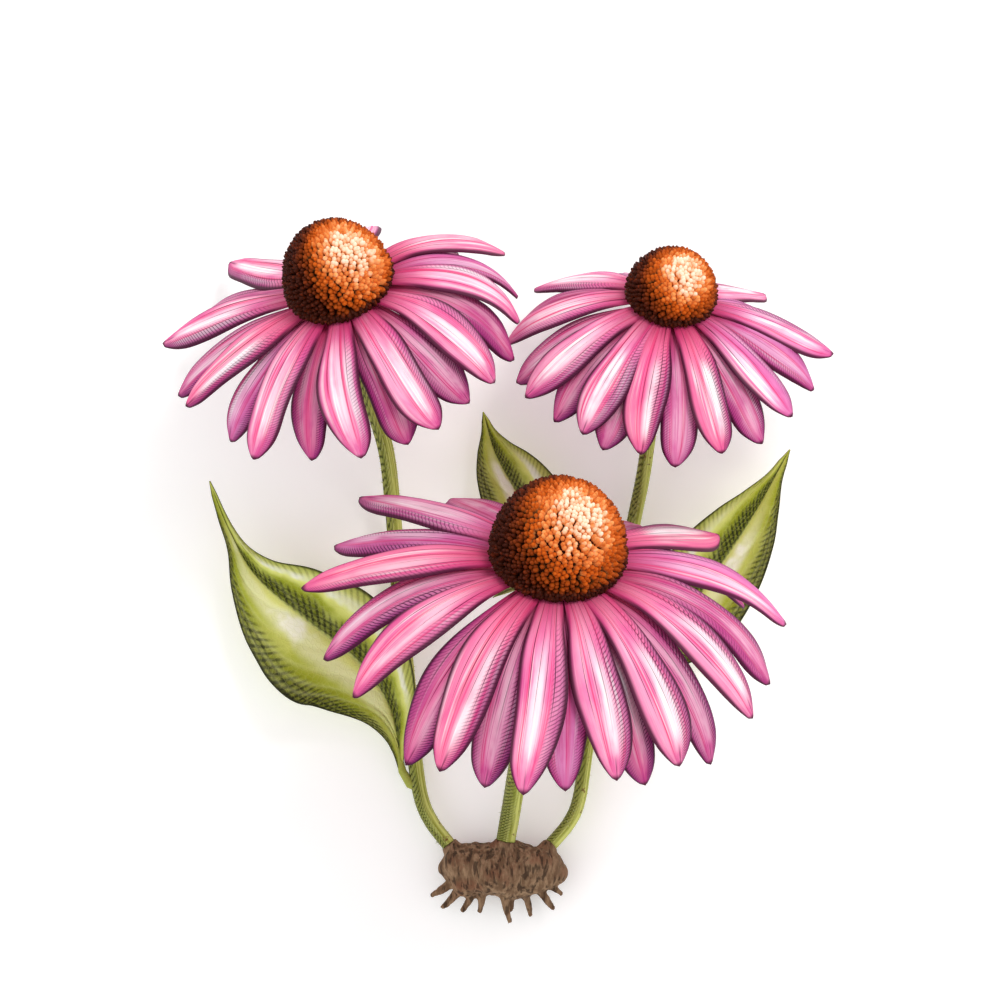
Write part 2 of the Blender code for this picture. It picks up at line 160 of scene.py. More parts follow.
OVATE = ((0.0, 0.09), (0.1, 0.13), (0.22, 0.62), (0.38, 1.0), (0.55, 0.97),
         (0.72, 0.70), (0.82, 0.42), (0.9, 0.16), (1.0, 0.04))
TAILED = ((0.0, 0.07), (0.08, 0.12), (0.16, 0.42), (0.28, 0.78), (0.43, 1.0),
          (0.57, 0.80), (0.68, 0.40), (0.77, 0.15), (0.88, 0.07), (1.0, 0.03))
# painted_lit_half: the side of the midrib, by the sign of t, that gets the painted light; the other
# half gets painted shade
LEAVES = {
    "left": {
        "midrib": ((400, 776, 4.6), (389, 712, 6.5), (355, 662, 8.0), (305, 622, 9.5),
                   (254, 578, 11.0), (226, 530, 13.0), (207, 481, 17.0)),
        "stalk": ((417, 792, 4.8), (409, 788, 4.8), (401, 775, 4.7), (397, 757, 5.0),
                  (391, 725, 5.8)),
        "outline": TAILED, "half_width": 18.0, "fold": 25.0, "roll": -13.0,
        "wave": 1.1, "waves": 2.5, "painted_lit_half": 1,
    },
    "middle": {
        "midrib": ((601, 635, 3.6), (578, 590, 5.0), (545, 540, 6.0), (514, 488, 7.0),
                   (494, 450, 9.0), (483, 411, 13.0)),
        "stalk": ((613, 651, 3.7), (607, 645, 3.6), (600, 634, 3.6), (592, 618, 3.8),
                  (582, 598, 4.4)),
        "outline": OVATE, "half_width": 10.6, "fold": 18.0, "roll": 6.0,
        "wave": 0.5, "waves": 2.0, "painted_lit_half": 1,
    },
    "right": {
        "midrib": ((612, 702, 3.6), (650, 655, 5.0), (692, 610, 6.5), (731, 555, 8.5),
                   (762, 506, 10.5), (793, 449, 13.0)),
        "stalk": ((598, 714, 3.5), (605, 710, 3.5), (613, 701, 3.6), (624, 687, 3.8),
                  (640, 667, 4.5)),
        "outline": OVATE, "half_width": 12.4, "fold": 20.0, "roll": -4.0,
        "wave": 0.7, "waves": 2.0, "painted_lit_half": -1,
    },
}

CROWN_PIXEL = (500.0, 875.0)
CROWN_SIZE = (31.0, 14.0, 12.0)
ROOT_COUNT = 9
ROOT_LENGTH = 8.5
ROOT_RADIUS = 1.3
ROOT_SEED = 11


# Places and smooth curves

def at(x, y, height=0.0):
    """Point over pixel (x, y) of the drawing, in millimetres."""
    return Vector(((x - ORIGIN_PIXEL[0]) * PIXEL, (ORIGIN_PIXEL[1] - y) * PIXEL, height))


def cubic(step, start, leave, end, arrive):
    """Smooth run from start to end, with the slope at each."""
    square = step * step
    cube = square * step
    return (start * (2 * cube - 3 * square + 1) + leave * (cube - 2 * square + step)
            + end * (3 * square - 2 * cube) + arrive * (cube - square))


def blend(table, position):
    """Value of a (position, value) table, smooth through its entries."""
    places, values = zip(*table)
    last = len(table) - 1
    index = 0
    while index < last - 1 and position > places[index + 1]:
        index += 1
    span = places[index + 1] - places[index]
    step = min(max((position - places[index]) / span, 0.0), 1.0)

    def slope(i):
        low = max(i - 1, 0)
        high = min(i + 1, last)
        return (values[high] - values[low]) / (places[high] - places[low])

    return cubic(step, values[index], slope(index) * span,
                 values[index + 1], slope(index + 1) * span)


def along(points, position):
    """Point at position 0 to 1 on the smooth curve through the points."""
    count = len(points) - 1
    index = min(int(position * count), count - 1)
    start = points[index]
    end = points[index + 1]
    before = points[max(index - 1, 0)]
    after = points[min(index + 2, count)]
    return cubic(position * count - index, start, (end - before) * 0.5, end, (after - start) * 0.5)


def heading(points, position, reach):
    """Direction of that curve, over a short reach to each side."""
    ahead = along(points, min(position + reach, 1.0))
    return (ahead - along(points, max(position - reach, 0.0))).normalized()


def head_axis(head):
    """The way a head faces."""
    tilt = math.radians(HEAD_TILT)
    lean = math.radians(head["lean"])
    flat = math.cos(tilt)
    return Vector((math.sin(lean) * flat, math.cos(lean) * flat, math.sin(tilt)))


def head_matrix(head):
    """Matrix in metres that stands a piece drawn round Z on the head's own axis."""
    lean = math.radians(head["lean"])
    axis = head_axis(head)
    right = Vector((math.cos(lean), -math.sin(lean), 0.0))
    rotation = Matrix((right, axis.cross(right), axis)).transposed().to_4x4()
    return Matrix.Translation(at(*head["pixel"], head["height"]) * MM) @ rotation


# Node trees

def math_node(operation, reflected=False):
    """Method of a Wire that adds one kind of Math node."""
    def method(wire, *others):
        values = (*others, wire) if reflected else (wire, *others)
        return wire.maker.make("ShaderNodeMath", dict(enumerate(values)),
                               settings={"operation": operation})
    return method


class Wire:
    """One node output. Arithmetic on it adds Math nodes."""

    def __init__(self, maker, socket):
        self.maker = maker
        self.socket = socket

    __add__ = math_node("ADD")
    __radd__ = math_node("ADD", True)
    __sub__ = math_node("SUBTRACT")
    __rsub__ = math_node("SUBTRACT", True)
    __mul__ = math_node("MULTIPLY")
    __rmul__ = math_node("MULTIPLY", True)
    __truediv__ = math_node("DIVIDE")
    __rtruediv__ = math_node("DIVIDE", True)
    __pow__ = math_node("POWER")
    __rpow__ = math_node("POWER", True)
    __abs__ = math_node("ABSOLUTE")
    fraction = math_node("FRACT")
    sine = math_node("SINE")
    cosine = math_node("COSINE")
    most = math_node("MAXIMUM")
    least = math_node("MINIMUM")
    above = math_node("GREATER_THAN")

    def ramp(self, low, high):
        """0 below low, 1 above high and smooth between."""
        return self.maker.make("ShaderNodeMapRange",
                               {"Value": self, "From Min": low, "From Max": high},
                               settings={"interpolation_type": "SMOOTHSTEP"})

    def lines(self, width, soft):
        """1 on thin lines, one for each whole step of the value, and 0 between them."""
        return 1.0 - (abs(self.fraction() - 0.5) * 2.0).ramp(width, soft)


class Maker:
    """Adds nodes to one tree. A material's maker also keeps its colour so far."""

    def __init__(self, tree):
        self.tree = tree

    def make(self, kind, inputs=None, out=0, settings=None):
        """Add a node, set it, feed its sockets and return one output as a Wire."""
        node = self.tree.nodes.new(kind)
        for key, value in (settings or {}).items():
            setattr(node, key, value)
        for key, value in (inputs or {}).items():
            self.feed(node.inputs[key], value)
        return Wire(self, node.outputs[out])

    def feed(self, socket, value):
        """Link a wire to a socket, or set it to a plain value."""
        if isinstance(value, Wire):
            self.tree.links.new(value.socket, socket)
        else:
            socket.default_value = value

    def other(self, wire, out):
        """Another output of the node that a wire leaves."""
        return Wire(self, wire.socket.node.outputs[out])

    def parts(self, vector):
        """The X, Y and Z of a vector as three wires."""
        first = self.make("ShaderNodeSeparateXYZ", {0: vector})
        return first, self.other(first, 1), self.other(first, 2)

    def vector(self, x, y, z):
        return self.make("ShaderNodeCombineXYZ", {0: x, 1: y, 2: z})

    def vector_math(self, operation, first, second=(0.0, 0.0, 0.0), out=0):
        return self.make("ShaderNodeVectorMath", {0: first, 1: second}, out=out,
                         settings={"operation": operation})

    def place(self):
        """Place in the piece's own frame, in metres."""
        return self.make("ShaderNodeTexCoord", out="Object")

    def attribute(self, name, out=0):
        return self.make("ShaderNodeAttribute", out=out, settings={"attribute_name": name})

    def blade(self):
        """Place across and along a blade, limb or stem, each 0 to 1."""
        return self.parts(self.make("ShaderNodeUVMap", settings={"uv_map": "blade"}))[:2]

    def noise(self, vector, scale, detail=3.0, rough=0.5):
        return self.make("ShaderNodeTexNoise", {"Vector": vector, "Scale": scale,
                                                "Detail": detail, "Roughness": rough})

    def random(self, low, high, seed):
        return self.make("FunctionNodeRandomValue", {2: low, 3: high, "Seed": seed}, out=1)

    def mix(self, mask, first, second):
        """Mix two colours, each a wire or a plain colour."""
        colours = [value if isinstance(value, Wire) else (*value, 1.0)
                   for value in (first, second)]
        return self.make("ShaderNodeMix", {0: mask, 6: colours[0], 7: colours[1]}, out=2,
                         settings={"data_type": "RGBA"})

    def cover(self, mask, colour, limit=None):
        """Lay a colour over the colour so far; limit is the most that it hides."""
        self.colour = self.mix(mask if limit is None else mask.least(limit), self.colour, colour)

    def finish(self, roughness, height=None, distance=0.0, strength=1.0):
        """Feed the colour, the roughness and a low relief, whose distance is in metres."""
        inputs = self.tree.nodes["Principled BSDF"].inputs
        self.feed(inputs["Base Color"], self.colour)
        self.feed(inputs["Roughness"], roughness)
        if height is not None:
            normal = self.make("ShaderNodeBump", {"Height": height, "Distance": distance,
                                                  "Strength": strength})
            self.feed(inputs["Normal"], normal)


def start_material(name, colour, roughness, **constants):
    """Material with a fresh Principled shader; constants are set on its own sockets."""
    material = bpy.data.materials.new(name)
    material.use_nodes = True
    material.diffuse_color = (*colour, 1.0)
    inputs = material.node_tree.nodes["Principled BSDF"].inputs
    inputs["Base Color"].default_value = (*colour, 1.0)
    inputs["Roughness"].default_value = roughness
    for key, value in constants.items():
        inputs[key.replace("_", " ")].default_value = value
    return material, Maker(material.node_tree)


# Materials

def ray_material(colours):
    """Petal pink in lengthwise bands of rose and crimson: a white painted highlight down the
    middle, painted shade at the edges, on one side and on the lower rays, shade strokes, crimson
    roots, dark veins and rims.
    """
    material, m = start_material("ray_petal", colours.ray_mid, 0.5,
                                 Subsurface_Weight=0.05, Specular_IOR_Level=0.13,
                                 Subsurface_Radius=RAY_DEPTHS)
    across, length = m.blade()
    own, tier, under = m.parts(m.attribute("traits"))
    centred = across * 2.0 - 1.0
    side = abs(centred)
    streak = m.noise(m.vector(across * 9.0 + own * 31.0, length * 0.8, own * 17.0), 1.0, 2.0, 0.55)
    fine = m.noise(m.vector(across * 42.0 + own * 13.0, length * 1.3, own * 9.0), 1.0, 2.0, 0.6)
    blotch = m.noise(m.vector(across * 2.4, length * 2.8, own * 23.0), 1.0, 3.0, 0.55)
    second = (own * 7.31).fraction()
    wander = (streak - 0.5) * 0.35
    m.colour = m.mix(blotch.ramp(0.35, 0.66), colours.ray_mid, colours.ray_light)
    m.cover(own.ramp(0.6, 0.85) * 0.75, colours.ray_rose)
    m.cover((1.0 - own.ramp(0.15, 0.35)) * 0.6, colours.ray_mauve)
    middle = centred - (own - 0.5) * 0.7 + wander
    # Painted highlight: a pale, streaky band down the middle of each ray, set off to one side by
    # its own value
    band = 1.0 - abs(middle).ramp(0.05, 0.4)
    run = length.ramp(0.05 + second * 0.2, 0.4) * (1.0 - length.ramp(0.5 + second * 0.2, 0.9))
    pale = band * (0.3 + second * 0.6) + streak.ramp(0.5, 0.64) * 0.65
    pale = pale * run * (0.15 + blotch * 1.7)
    m.cover(pale * (1.0 - tier * 0.45), colours.ray_pale_highlight, 0.97)
    flank = 1.0 - abs(abs(middle) - 0.34 - second * 0.14).ramp(0.03, 0.16)
    flank = flank * fine.ramp(0.36, 0.6) * length.ramp(0.0, 0.2) * (1.0 - length.ramp(0.75, 1.0))
    m.cover(flank * 0.85, colours.ray_crimson, 1.0)
    # Painted shade deepening the edges, also deeper at the tips and in random patches
    deep = side.ramp(0.5, 1.0) * (0.35 + streak * 0.7) + length.ramp(0.76, 0.98) * 0.45
    deep = deep + fine.ramp(0.52, 0.68) * 0.4 + (1.0 - blotch.ramp(0.3, 0.5)) * 0.35
    m.cover(deep * (0.75 + tier * 0.5), colours.ray_deep, 0.95)
    m.cover(tier * (0.25 + own * 0.5) * (0.45 + side * 0.55), colours.ray_purple)
    shade = (centred + wander).ramp(0.2, 0.85) * length.ramp(0.12, 0.4)
    m.cover(shade * (0.2 + second * 0.45), colours.ray_purple)
    # Painted shade in fine slanting strokes on one side of each ray and over the lower rays
    stroke = (length * 50.0 + centred * 5.0 + streak * 0.8).lines(0.08, 0.5)
    shade_hatching = (centred + second * 0.3 + wander).ramp(0.45, 0.8) * (0.45 + second * 0.55)
    shade_hatching = shade_hatching + tier * (side + wander).ramp(0.3, 0.8) * 0.7
    shade_hatching = shade_hatching * length.ramp(0.1, 0.3) * stroke
    m.cover(shade_hatching * 0.85, colours.ray_shade_hatch, 0.85)
    # Crimson roots: the ray's own darker base, deepened as painted shade by the cone
    root = 1.0 - length.ramp(0.02, 0.3)
    m.cover(root * (0.55 + streak * 0.6), colours.ray_root, 1.0)
    vein = (across * 6.0 + wander).lines(0.02, 0.16) * fine.ramp(0.38, 0.5)
    vein = vein * (1.0 - side.ramp(0.6, 0.9))
    vein = vein * (1.0 - length.ramp(0.25 + second * 0.2, 0.5 + second * 0.25))
    tips = (1.0 - abs(middle).ramp(0.02, 0.1)) * length.ramp(0.78, 0.9) * second.above(0.5)
    m.cover(vein * 0.9 + tips * 0.6, colours.ray_vein, 0.9)
    m.cover(under * 0.5, colours.ray_under)
    rim = (side.ramp(0.78, 0.92) + length.ramp(0.93, 0.98)).least(1.0) * length.ramp(0.04, 0.2)
    m.cover(rim * 0.92, colours.ray_rim)
    m.finish(0.45 + streak * 0.2, streak * 0.6 + fine * 0.4 - vein * 0.4, 0.0004, 0.8)
    return material


def floret_material(colours):
    """Burnt orange florets: painted shade near black low and to the left, and a painted cream
    highlight on the side that faces the painted light.
    """
    material, m = start_material("floret", colours.cone_orange, 0.5, Specular_IOR_Level=0.08)
    tip, dome, own, sun = (m.attribute(name, "Fac") for name in ("tip", "dome", "own", "sun"))
    place = m.place()
    cloud = m.noise(place, 260.0, 3.0, 0.6)
    mottle = m.noise(place, 900.0, 2.0, 0.6)
    # Painted light on each floret, from its facing with some random cloud; florets out of it are
    # painted brown
    painted_light = sun + (cloud - 0.5) * 0.35 + (own - 0.5) * 0.12
    painted_lit = painted_light.ramp(0.15, 0.85)
    m.colour = m.mix(painted_lit, colours.cone_brown_and_shade, colours.cone_orange)
    # Painted highlight: gold, then cream, on the florets that face the painted light most
    m.cover(painted_light.ramp(0.68, 0.94) * (0.5 + own * 0.5), colours.cone_lit_gold)
    m.cover(painted_light.ramp(0.86, 1.0), colours.cone_painted_highlight)
    # Dark at the florets' feet: near black in the painted shade, gold in the painted light
    between = m.mix(painted_light.ramp(0.4, 0.85), colours.cone_shade_dark, colours.cone_lit_gold)
    m.cover((1.0 - tip.ramp(0.3, 0.7)) * 0.92, between)
    # Painted shade, near black, low and to the left, and darker towards the cone's rim
    low = (1.0 - painted_light.ramp(0.2, 0.82)) * 0.94 + dome.ramp(0.6, 0.95) * 0.6
    m.cover(low, colours.cone_shade_dark, 0.95)
    # Random brown mottle, weaker in the painted light
    m.cover(mottle.ramp(0.5, 0.7) * (0.4 - painted_light.ramp(0.65, 0.9) * 0.38), colours.cone_brown_and_shade)
    m.finish(0.66 - tip * 0.2, mottle, 0.0001, 0.6)
    return material


def green_material(name, colours, mid, flecks):
    """Stem or bract green, streaked, with painted shade in fine strokes down one side, and reddish
    flecks.
    """
    material, m = start_material(name, mid, 0.5, Specular_IOR_Level=0.15,
                                 Subsurface_Weight=0.04, Subsurface_Radius=GREEN_DEPTHS)
    around, length = m.blade()
    place = m.place()
    streak = m.noise(m.vector(around * 22.0, length * 5.0, 0.0), 1.0, 3.0, 0.6)
    cloud = m.noise(place, 90.0, 3.0, 0.5)
    spots = m.noise(place, 620.0, 2.0, 0.6)
    m.colour = m.mix(streak.ramp(0.35, 0.65), mid, colours.stem_light)
    # Painted shade, in fine hatching strokes, down one side of each stem and bract
    turned = (around * (2.0 * math.pi)).cosine()
    shade = 1.0 - (turned + (cloud - 0.5) * 1.2).ramp(-0.6, 0.75)
    stroke = (length * 70.0 + turned * 2.0 + streak * 2.2).lines(0.1, 0.6)
    m.cover(shade * (0.55 + stroke * 0.45), colours.stem_painted_shade)
    m.cover(spots.ramp(0.62, 0.7) * cloud.ramp(0.4, 0.6) * flecks, STEM_FLECK)
    m.finish(0.4 + streak * 0.25, streak * 0.7 + spots * 0.3, 0.00025, 0.7)
    return material


def hair_material(colours):
    """Pale stem hairs, some of them browner."""
    material, m = start_material("stem_hair", colours.stem_hair, 0.6)
    cloud = m.noise(m.place(), 300.0)
    m.colour = m.mix(cloud.ramp(0.4, 0.65), colours.stem_hair, colours.stem_mid)
    m.finish(0.5 + cloud * 0.3)
    return material


def leaf_material(colours):
    """Folded leaf: a painted cream highlight by the midrib on the lit half and by the margin on the
    shaded half, painted shade beyond, in the fold and at the margins.
    """
    material, m = start_material("leaf", colours.leaf_mid, 0.42,
                                 Specular_IOR_Level=0.14, Subsurface_Weight=0.04,
                                 Subsurface_Radius=GREEN_DEPTHS)
    across, length = m.blade()
    # light is 1 on the half that gets the painted light and 0 on the half in painted shade
    light, vein, under = m.parts(m.attribute("traits"))
    side = abs(across * 2.0 - 1.0)
    place = m.place()
    cloud = m.noise(place, 75.0, 3.0, 0.55)
    grain = m.noise(place, 900.0, 2.0, 0.6)
    cells = m.make("ShaderNodeTexVoronoi", {"Vector": place, "Scale": 760.0},
                   settings={"feature": "DISTANCE_TO_EDGE"})
    net = 1.0 - cells.ramp(0.02, 0.11)
    washed = side + (cloud - 0.5) * 0.45
    middle = length.ramp(0.08, 0.22) * (1.0 - length.ramp(0.62, 0.86))
    m.colour = m.mix(cloud.ramp(0.4, 0.62) * 0.5, colours.leaf_mid, colours.leaf_light)
    # Painted light: lighter by the midrib on the lit half and by the margin on the shaded half
    near = 1.0 - washed.ramp(0.06, 0.62)
    far = washed.ramp(0.4, 0.62) * (1.0 - washed.ramp(0.78, 1.0))
    tint = near * light + far * (1.0 - light)
    m.cover(tint * (0.45 + middle * 0.55), colours.leaf_light, 1.0)
    # Painted highlight, cream, within the painted light
    painted_highlight = (washed.ramp(0.0, 0.16) * (1.0 - washed.ramp(0.24, 0.5)) * light
             + washed.ramp(0.56, 0.68) * (1.0 - washed.ramp(0.7, 0.86)) * (1.0 - light) * 0.8)
    m.cover(painted_highlight * middle * (0.35 + cloud.ramp(0.42, 0.6)), colours.leaf_painted_highlight, 0.92)
    # Painted shade at the margins and along the fold on the shaded half, with fine strokes and
    # cross strokes
    margin_shade = washed.ramp(0.46, 0.9) * (0.4 + light * 0.6)
    fold = (1.0 - light) * (1.0 - washed.ramp(0.12, 0.5))
    dark = (margin_shade + fold).most(0.0).least(1.0)
    stroke = (length * 50.0 - side * 7.0 + cloud).lines(0.12, 0.7)
    cross = (side * 11.0 + length * 9.0).lines(0.1, 0.7)
    m.cover(dark * (0.7 + stroke * 0.25), colours.leaf_painted_shade)
    m.cover(dark.ramp(0.45, 0.9) * cross * 0.65, colours.leaf_shade_strokes_and_rim)
    m.cover(dark.ramp(0.2, 0.6) * stroke * 0.6, colours.leaf_shade_strokes_and_rim)
    m.cover(net * 0.1, colours.leaf_light)
    m.cover(vein * (0.2 + light * 0.3), colours.leaf_vein)
    m.cover(under * 0.4, colours.leaf_light)
    # Thin dark margin
    m.cover(side.ramp(0.93, 0.99) * 0.85, colours.leaf_shade_strokes_and_rim)
    m.finish(0.38 + cloud * 0.2 + under * 0.15, net * 0.3 + grain * 0.25, 0.0002, 0.7)
    return material


def bark_material(colours):
    """Fibrous brown bark, drawn out along the roots, with dark cracks and worn ridges."""
    material, m = start_material("bark", colours.bark, 0.85, Specular_IOR_Level=0.25)
    place = m.place()
    x, y, z = m.parts(place)
    grain = m.noise(m.vector(x, y * 0.3, z), 700.0, 5.0, 0.65)
    cloud = m.noise(place, 160.0, 3.0, 0.6)
    cracks = m.noise(m.vector(x, y * 0.22, z), 1100.0, 2.0, 0.5)
    dark = 1.0 - cracks.ramp(0.36, 0.48)
    m.colour = m.mix(grain.ramp(0.38, 0.68), colours.bark, colours.bark_pale)
    m.cover(cloud.ramp(0.5, 0.7) * 0.5, colours.bark_red)
    m.cover(dark * 0.75, BARK_CRACK)
    m.finish(0.75 + grain * 0.2, grain * 0.6 - dark * 0.5, 0.0005, 0.9)
    return material


def floor_material(colours):
    """White paper that gives off a little light, so that shadows on it stay pale."""
    material, m = start_material("floor_paper", colours.floor, 0.9,
                                 Specular_IOR_Level=0.1, Emission_Strength=0.22,
                                 Emission_Color=(*colours.floor, 1.0))
    tooth = m.noise(m.place(), 240.0, 4.0, 0.6)
    m.colour = m.mix(tooth * 0.06, colours.floor, FLOOR_TOOTH)
    m.finish(0.9)
    return material


# Meshes

def add_piece(name, bm, material, turn=None, outward=False):
    """Object at the origin, in metres, from a bmesh drawn in millimetres."""
    if outward:
        bmesh.ops.recalc_face_normals(bm, faces=bm.faces[:])
    bmesh.ops.scale(bm, vec=(MM, MM, MM), verts=bm.verts)
    if turn is not None:
        bmesh.ops.transform(bm, matrix=turn, verts=bm.verts)
    mesh = bpy.data.meshes.new(name)
    bm.to_mesh(mesh)
    bm.free()
    mesh.shade_smooth()
    mesh.materials.append(material)
    piece = bpy.data.objects.new(name, mesh)
    bpy.context.scene.collection.objects.link(piece)
    return piece


def declare(piece, node):
    """Attach a piece to the root body and hide the solid that it dresses."""
    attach(piece, "root")
    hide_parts(node)


def layer(group, name):
    """Layer of that name, made if it isn't there."""
    return group.get(name) or group.new(name)


def add_blade(bm, place, rows, columns, half, traits):
    """Closed thin blade. half(s, t) is half its thickness, traits(s, t, top) its colour values."""
    uv = layer(bm.loops.layers.uv, "blade")
    colour = layer(bm.verts.layers.float_color, "traits")
    top = []
    low = []
    spots = {}
    for row in range(rows + 1):
        s = row / rows
        top.append([])
        low.append([])
        for column in range(columns + 1):
            t = 2.0 * column / columns - 1.0
            point = place(s, t)
            down = place(min(s + SPAN, 1.0), t) - place(max(s - SPAN, 0.0), t)
            over = place(s, t + SPAN) - place(s, t - SPAN)
            normal = down.cross(over).normalized()
            for sign, grid in ((1.0, top), (-1.0, low)):
                vert = bm.verts.new(point + normal * (sign * half(s, t)))
                vert[colour] = (*traits(s, t, grid is top), 1.0)
                spots[vert] = (0.5 * (t + 1.0), s)
                grid[-1].append(vert)
    faces = []
    for row in range(rows):
        for column in range(columns):
            ring = ((row, column), (row + 1, column), (row + 1, column + 1), (row, column + 1))
            faces.append([top[i][j] for i, j in ring])
            faces.append([low[i][j] for i, j in reversed(ring)])
    rim = ([(0, j) for j in range(columns)] + [(i, columns) for i in range(rows)]
           + [(rows, j) for j in range(columns, 0, -1)] + [(i, 0) for i in range(rows, 0, -1)])
    for (i, j), (row, column) in zip(rim, rim[1:] + rim[:1]):
        faces.append([top[i][j], top[row][column], low[row][column], low[i][j]])
    for corners in faces:
        face = bm.faces.new(corners)
        for loop in face.loops:
            loop[uv].uv = spots[loop.vert]


def add_lathe(bm, profile, sides):
    """Closed turned solid round Z; the profile runs from the axis to the axis, upwards."""
    uv = layer(bm.loops.layers.uv, "blade")
    foot = bm.verts.new((0.0, 0.0, profile[0][1]))
    head = bm.verts.new((0.0, 0.0, profile[-1][1]))
    rings = []
    for radius, height in profile[1:-1]:
        ring = []
        for side in range(sides):
            turn = 2.0 * math.pi * side / sides
            ring.append(bm.verts.new((radius * math.cos(turn), radius * math.sin(turn), height)))
        rings.append(ring)
    for side in range(sides):
        after = (side + 1) % sides
        bm.faces.new((foot, rings[0][after], rings[0][side]))
        bm.faces.new((head, rings[-1][side], rings[-1][after]))
        for low, high in zip(rings, rings[1:]):
            face = bm.faces.new((low[side], low[after], high[after], high[side]))
            for loop, x in zip(face.loops, (side, side + 1, side + 1, side)):
                loop[uv].uv = (x / sides, 0.5)


def add_tube(bm, spots, aims, side, sides, reach):
    """Closed tube through the spots. reach(index, turn) is its radius; returns its faces."""
    rings = []
    for index, (spot, ahead) in enumerate(zip(spots, aims)):
        side = (side - ahead * side.dot(ahead)).normalized()
        over = ahead.cross(side)
        turns = [2.0 * math.pi * step / sides for step in range(sides)]
        rings.append([bm.verts.new(spot + (side * math.cos(turn) + over * math.sin(turn))
                                   * reach(index, turn)) for turn in turns])
    faces = []
    for low, high in zip(rings, rings[1:]):
        for step in range(sides):
            after = (step + 1) % sides
            faces.append(bm.faces.new((low[step], low[after], high[after], high[step])))
    faces.append(bm.faces.new(list(reversed(rings[0]))))
    faces.append(bm.faces.new(rings[-1]))
    return faces


def add_limb(bm, spots, radii, sides=12):
    """Closed round limb through the spots, coloured as a blade's midrib where it joins one."""
    uv = bm.loops.layers.uv.get("blade")
    colour = bm.verts.layers.float_color.get("traits")
    aims = [(after - before).normalized()
            for before, after in zip(spots[:1] + spots[:-1], spots[1:] + spots[-1:])]
    faces = add_tube(bm, spots, aims, UP, sides, lambda index, turn: radii[index])
    if uv and colour:
        for face in faces:
            for loop in face.loops:
                loop[uv].uv = (0.5, 0.15)
                loop.vert[colour] = (0.5, 0.0, 0.0, 1.0)


# Rays

def ray_rule(head):
    """Direction, rise at the root, droop at the tip, length, roll and tier of each ray."""
    draw = random.Random(head["seed"])
    rays = []
    for index in range(head["ray_count"]):
        even = head["first_ray"] + 360.0 * index / head["ray_count"]
        crowd = head["crowding"] * math.sin(math.radians(even - head["crowd_turn"]))
        turn = even + crowd + draw.uniform(-4.0, 4.0)
        sag = draw.uniform(0.0, 5.0) + head["tier_droop"]
        upper = index % 2 == 0
        droop = head["droop"] + (-sag if upper else sag)
        back = math.sin(math.radians(turn))
        droop += head["back_droop"] * back + head["side_droop"] * math.cos(math.radians(turn))
        rise = head["rise"] - head["back_rise"] * max(back, 0.0)
        length = head["ray_length"] * (draw.uniform(0.955, 1.045) + head["back_stretch"] * back)
        rays.append((turn, rise, droop, length, draw.uniform(-4.0, 4.0), upper))
    return rays


def ray_surface(head, ray, shape, draw):
    """Function that places a ray's points round the head's own Z axis."""
    turn, rise, droop, length, roll, upper = ray
    outward = Vector((math.cos(math.radians(turn)), math.sin(math.radians(turn)), 0.0))
    side = Vector((-outward.y, outward.x, 0.0))
    start = math.radians(rise)
    bend = math.radians(-droop) - start
    lift = TIER_LIFT if upper else -TIER_LIFT
    phase = draw.uniform(0.0, 2.0 * math.pi)
    ripple = draw.uniform(0.15, 0.45)
    sway = draw.uniform(-0.9, 0.9)
    hook = draw.uniform(-0.7, 0.9)
    swell = (draw.uniform(0.0, 2.0 * math.pi), draw.uniform(0.0, 2.0 * math.pi))

    def place(s, t):
        s = min(s + TIP_CROWDING * s * (1.0 - s), 0.9995)
        angle = start + bend * s
        reach = head["ray_root"] - 1.5 + length * (math.sin(angle) - math.sin(start)) / bend
        height = lift - length * (math.cos(angle) - math.cos(start)) / bend
        normal = UP * math.cos(angle) - outward * math.sin(angle)
        lean = math.radians(roll) * s
        across = side * math.cos(lean) + normal * math.sin(lean)
        half_width = 0.5 * head["ray_width"] * blend(RAY_OUTLINE, s)
        half_width *= math.sqrt(max(1.0 - max((s - TIP_START) / (1.0 - TIP_START), 0.0) ** 2, 0.0))
        half_width *= 1.0 + 0.12 * math.sin(8.0 * s + swell[t > 0.0]) * min(1.0, abs(t) * 2.0)
        grown = min(1.0, 4.0 * s) * min(1.0, 5.0 * (1.02 - s))
        ridge = RAY_RIDGE * math.sin(math.pi * abs(t)) * grown
        pleat = shape.pleat_depth / MM * math.cos(7.0 * math.pi * t) * grown
        bow = ridge + pleat - RAY_ARCH * t * t * math.sin(math.pi * min(s, 0.7))
        bow += ripple * t * t * math.sin(7.0 * s + phase + 1.5 * t) * grown
        bow += hook * max(0.0, s - 0.75) ** 2 * 24.0
        swerve = 4.8 * math.sin(3.0 * phase) * max(0.0, s - 0.4) ** 2
        drift = side * (sway * math.sin(math.pi * s) + swerve)
        return outward * reach + UP * height + across * (half_width * t) + normal * bow + drift

    return place


def make_rays(name, head, shape, material):
    """All of a head's rays and the thin collar that they grow from."""
    draw = random.Random(head["seed"] + 1)
    half = shape.ray_thickness / MM * 0.5
    bm = bmesh.new()
    for ray in ray_rule(head):
        own = draw.random()
        tier = 0.0 if ray[-1] else 1.0
        add_blade(bm, ray_surface(head, ray, shape, draw), shape.rows, shape.columns,
                  lambda s, t: half * (1.0 - 0.7 * abs(t) ** 3) * (1.0 - 0.5 * s),
                  lambda s, t, top: (own, tier, 0.0 if top else 1.0))
    root = head["ray_root"]
    add_lathe(bm, ((0.0, -COLLAR_HALF), (root - 1.0, -COLLAR_HALF), (root + 0.4, -1.0),
                   (root + 0.6, 0.0), (root + 0.4, 1.0), (root - 1.0, COLLAR_HALF),
                   (0.0, COLLAR_HALF)), 48)
    piece = add_piece("petals_" + name, bm, material, head_matrix(head), outward=True)
    declare(piece, "rays_" + name)


# Geometry Nodes

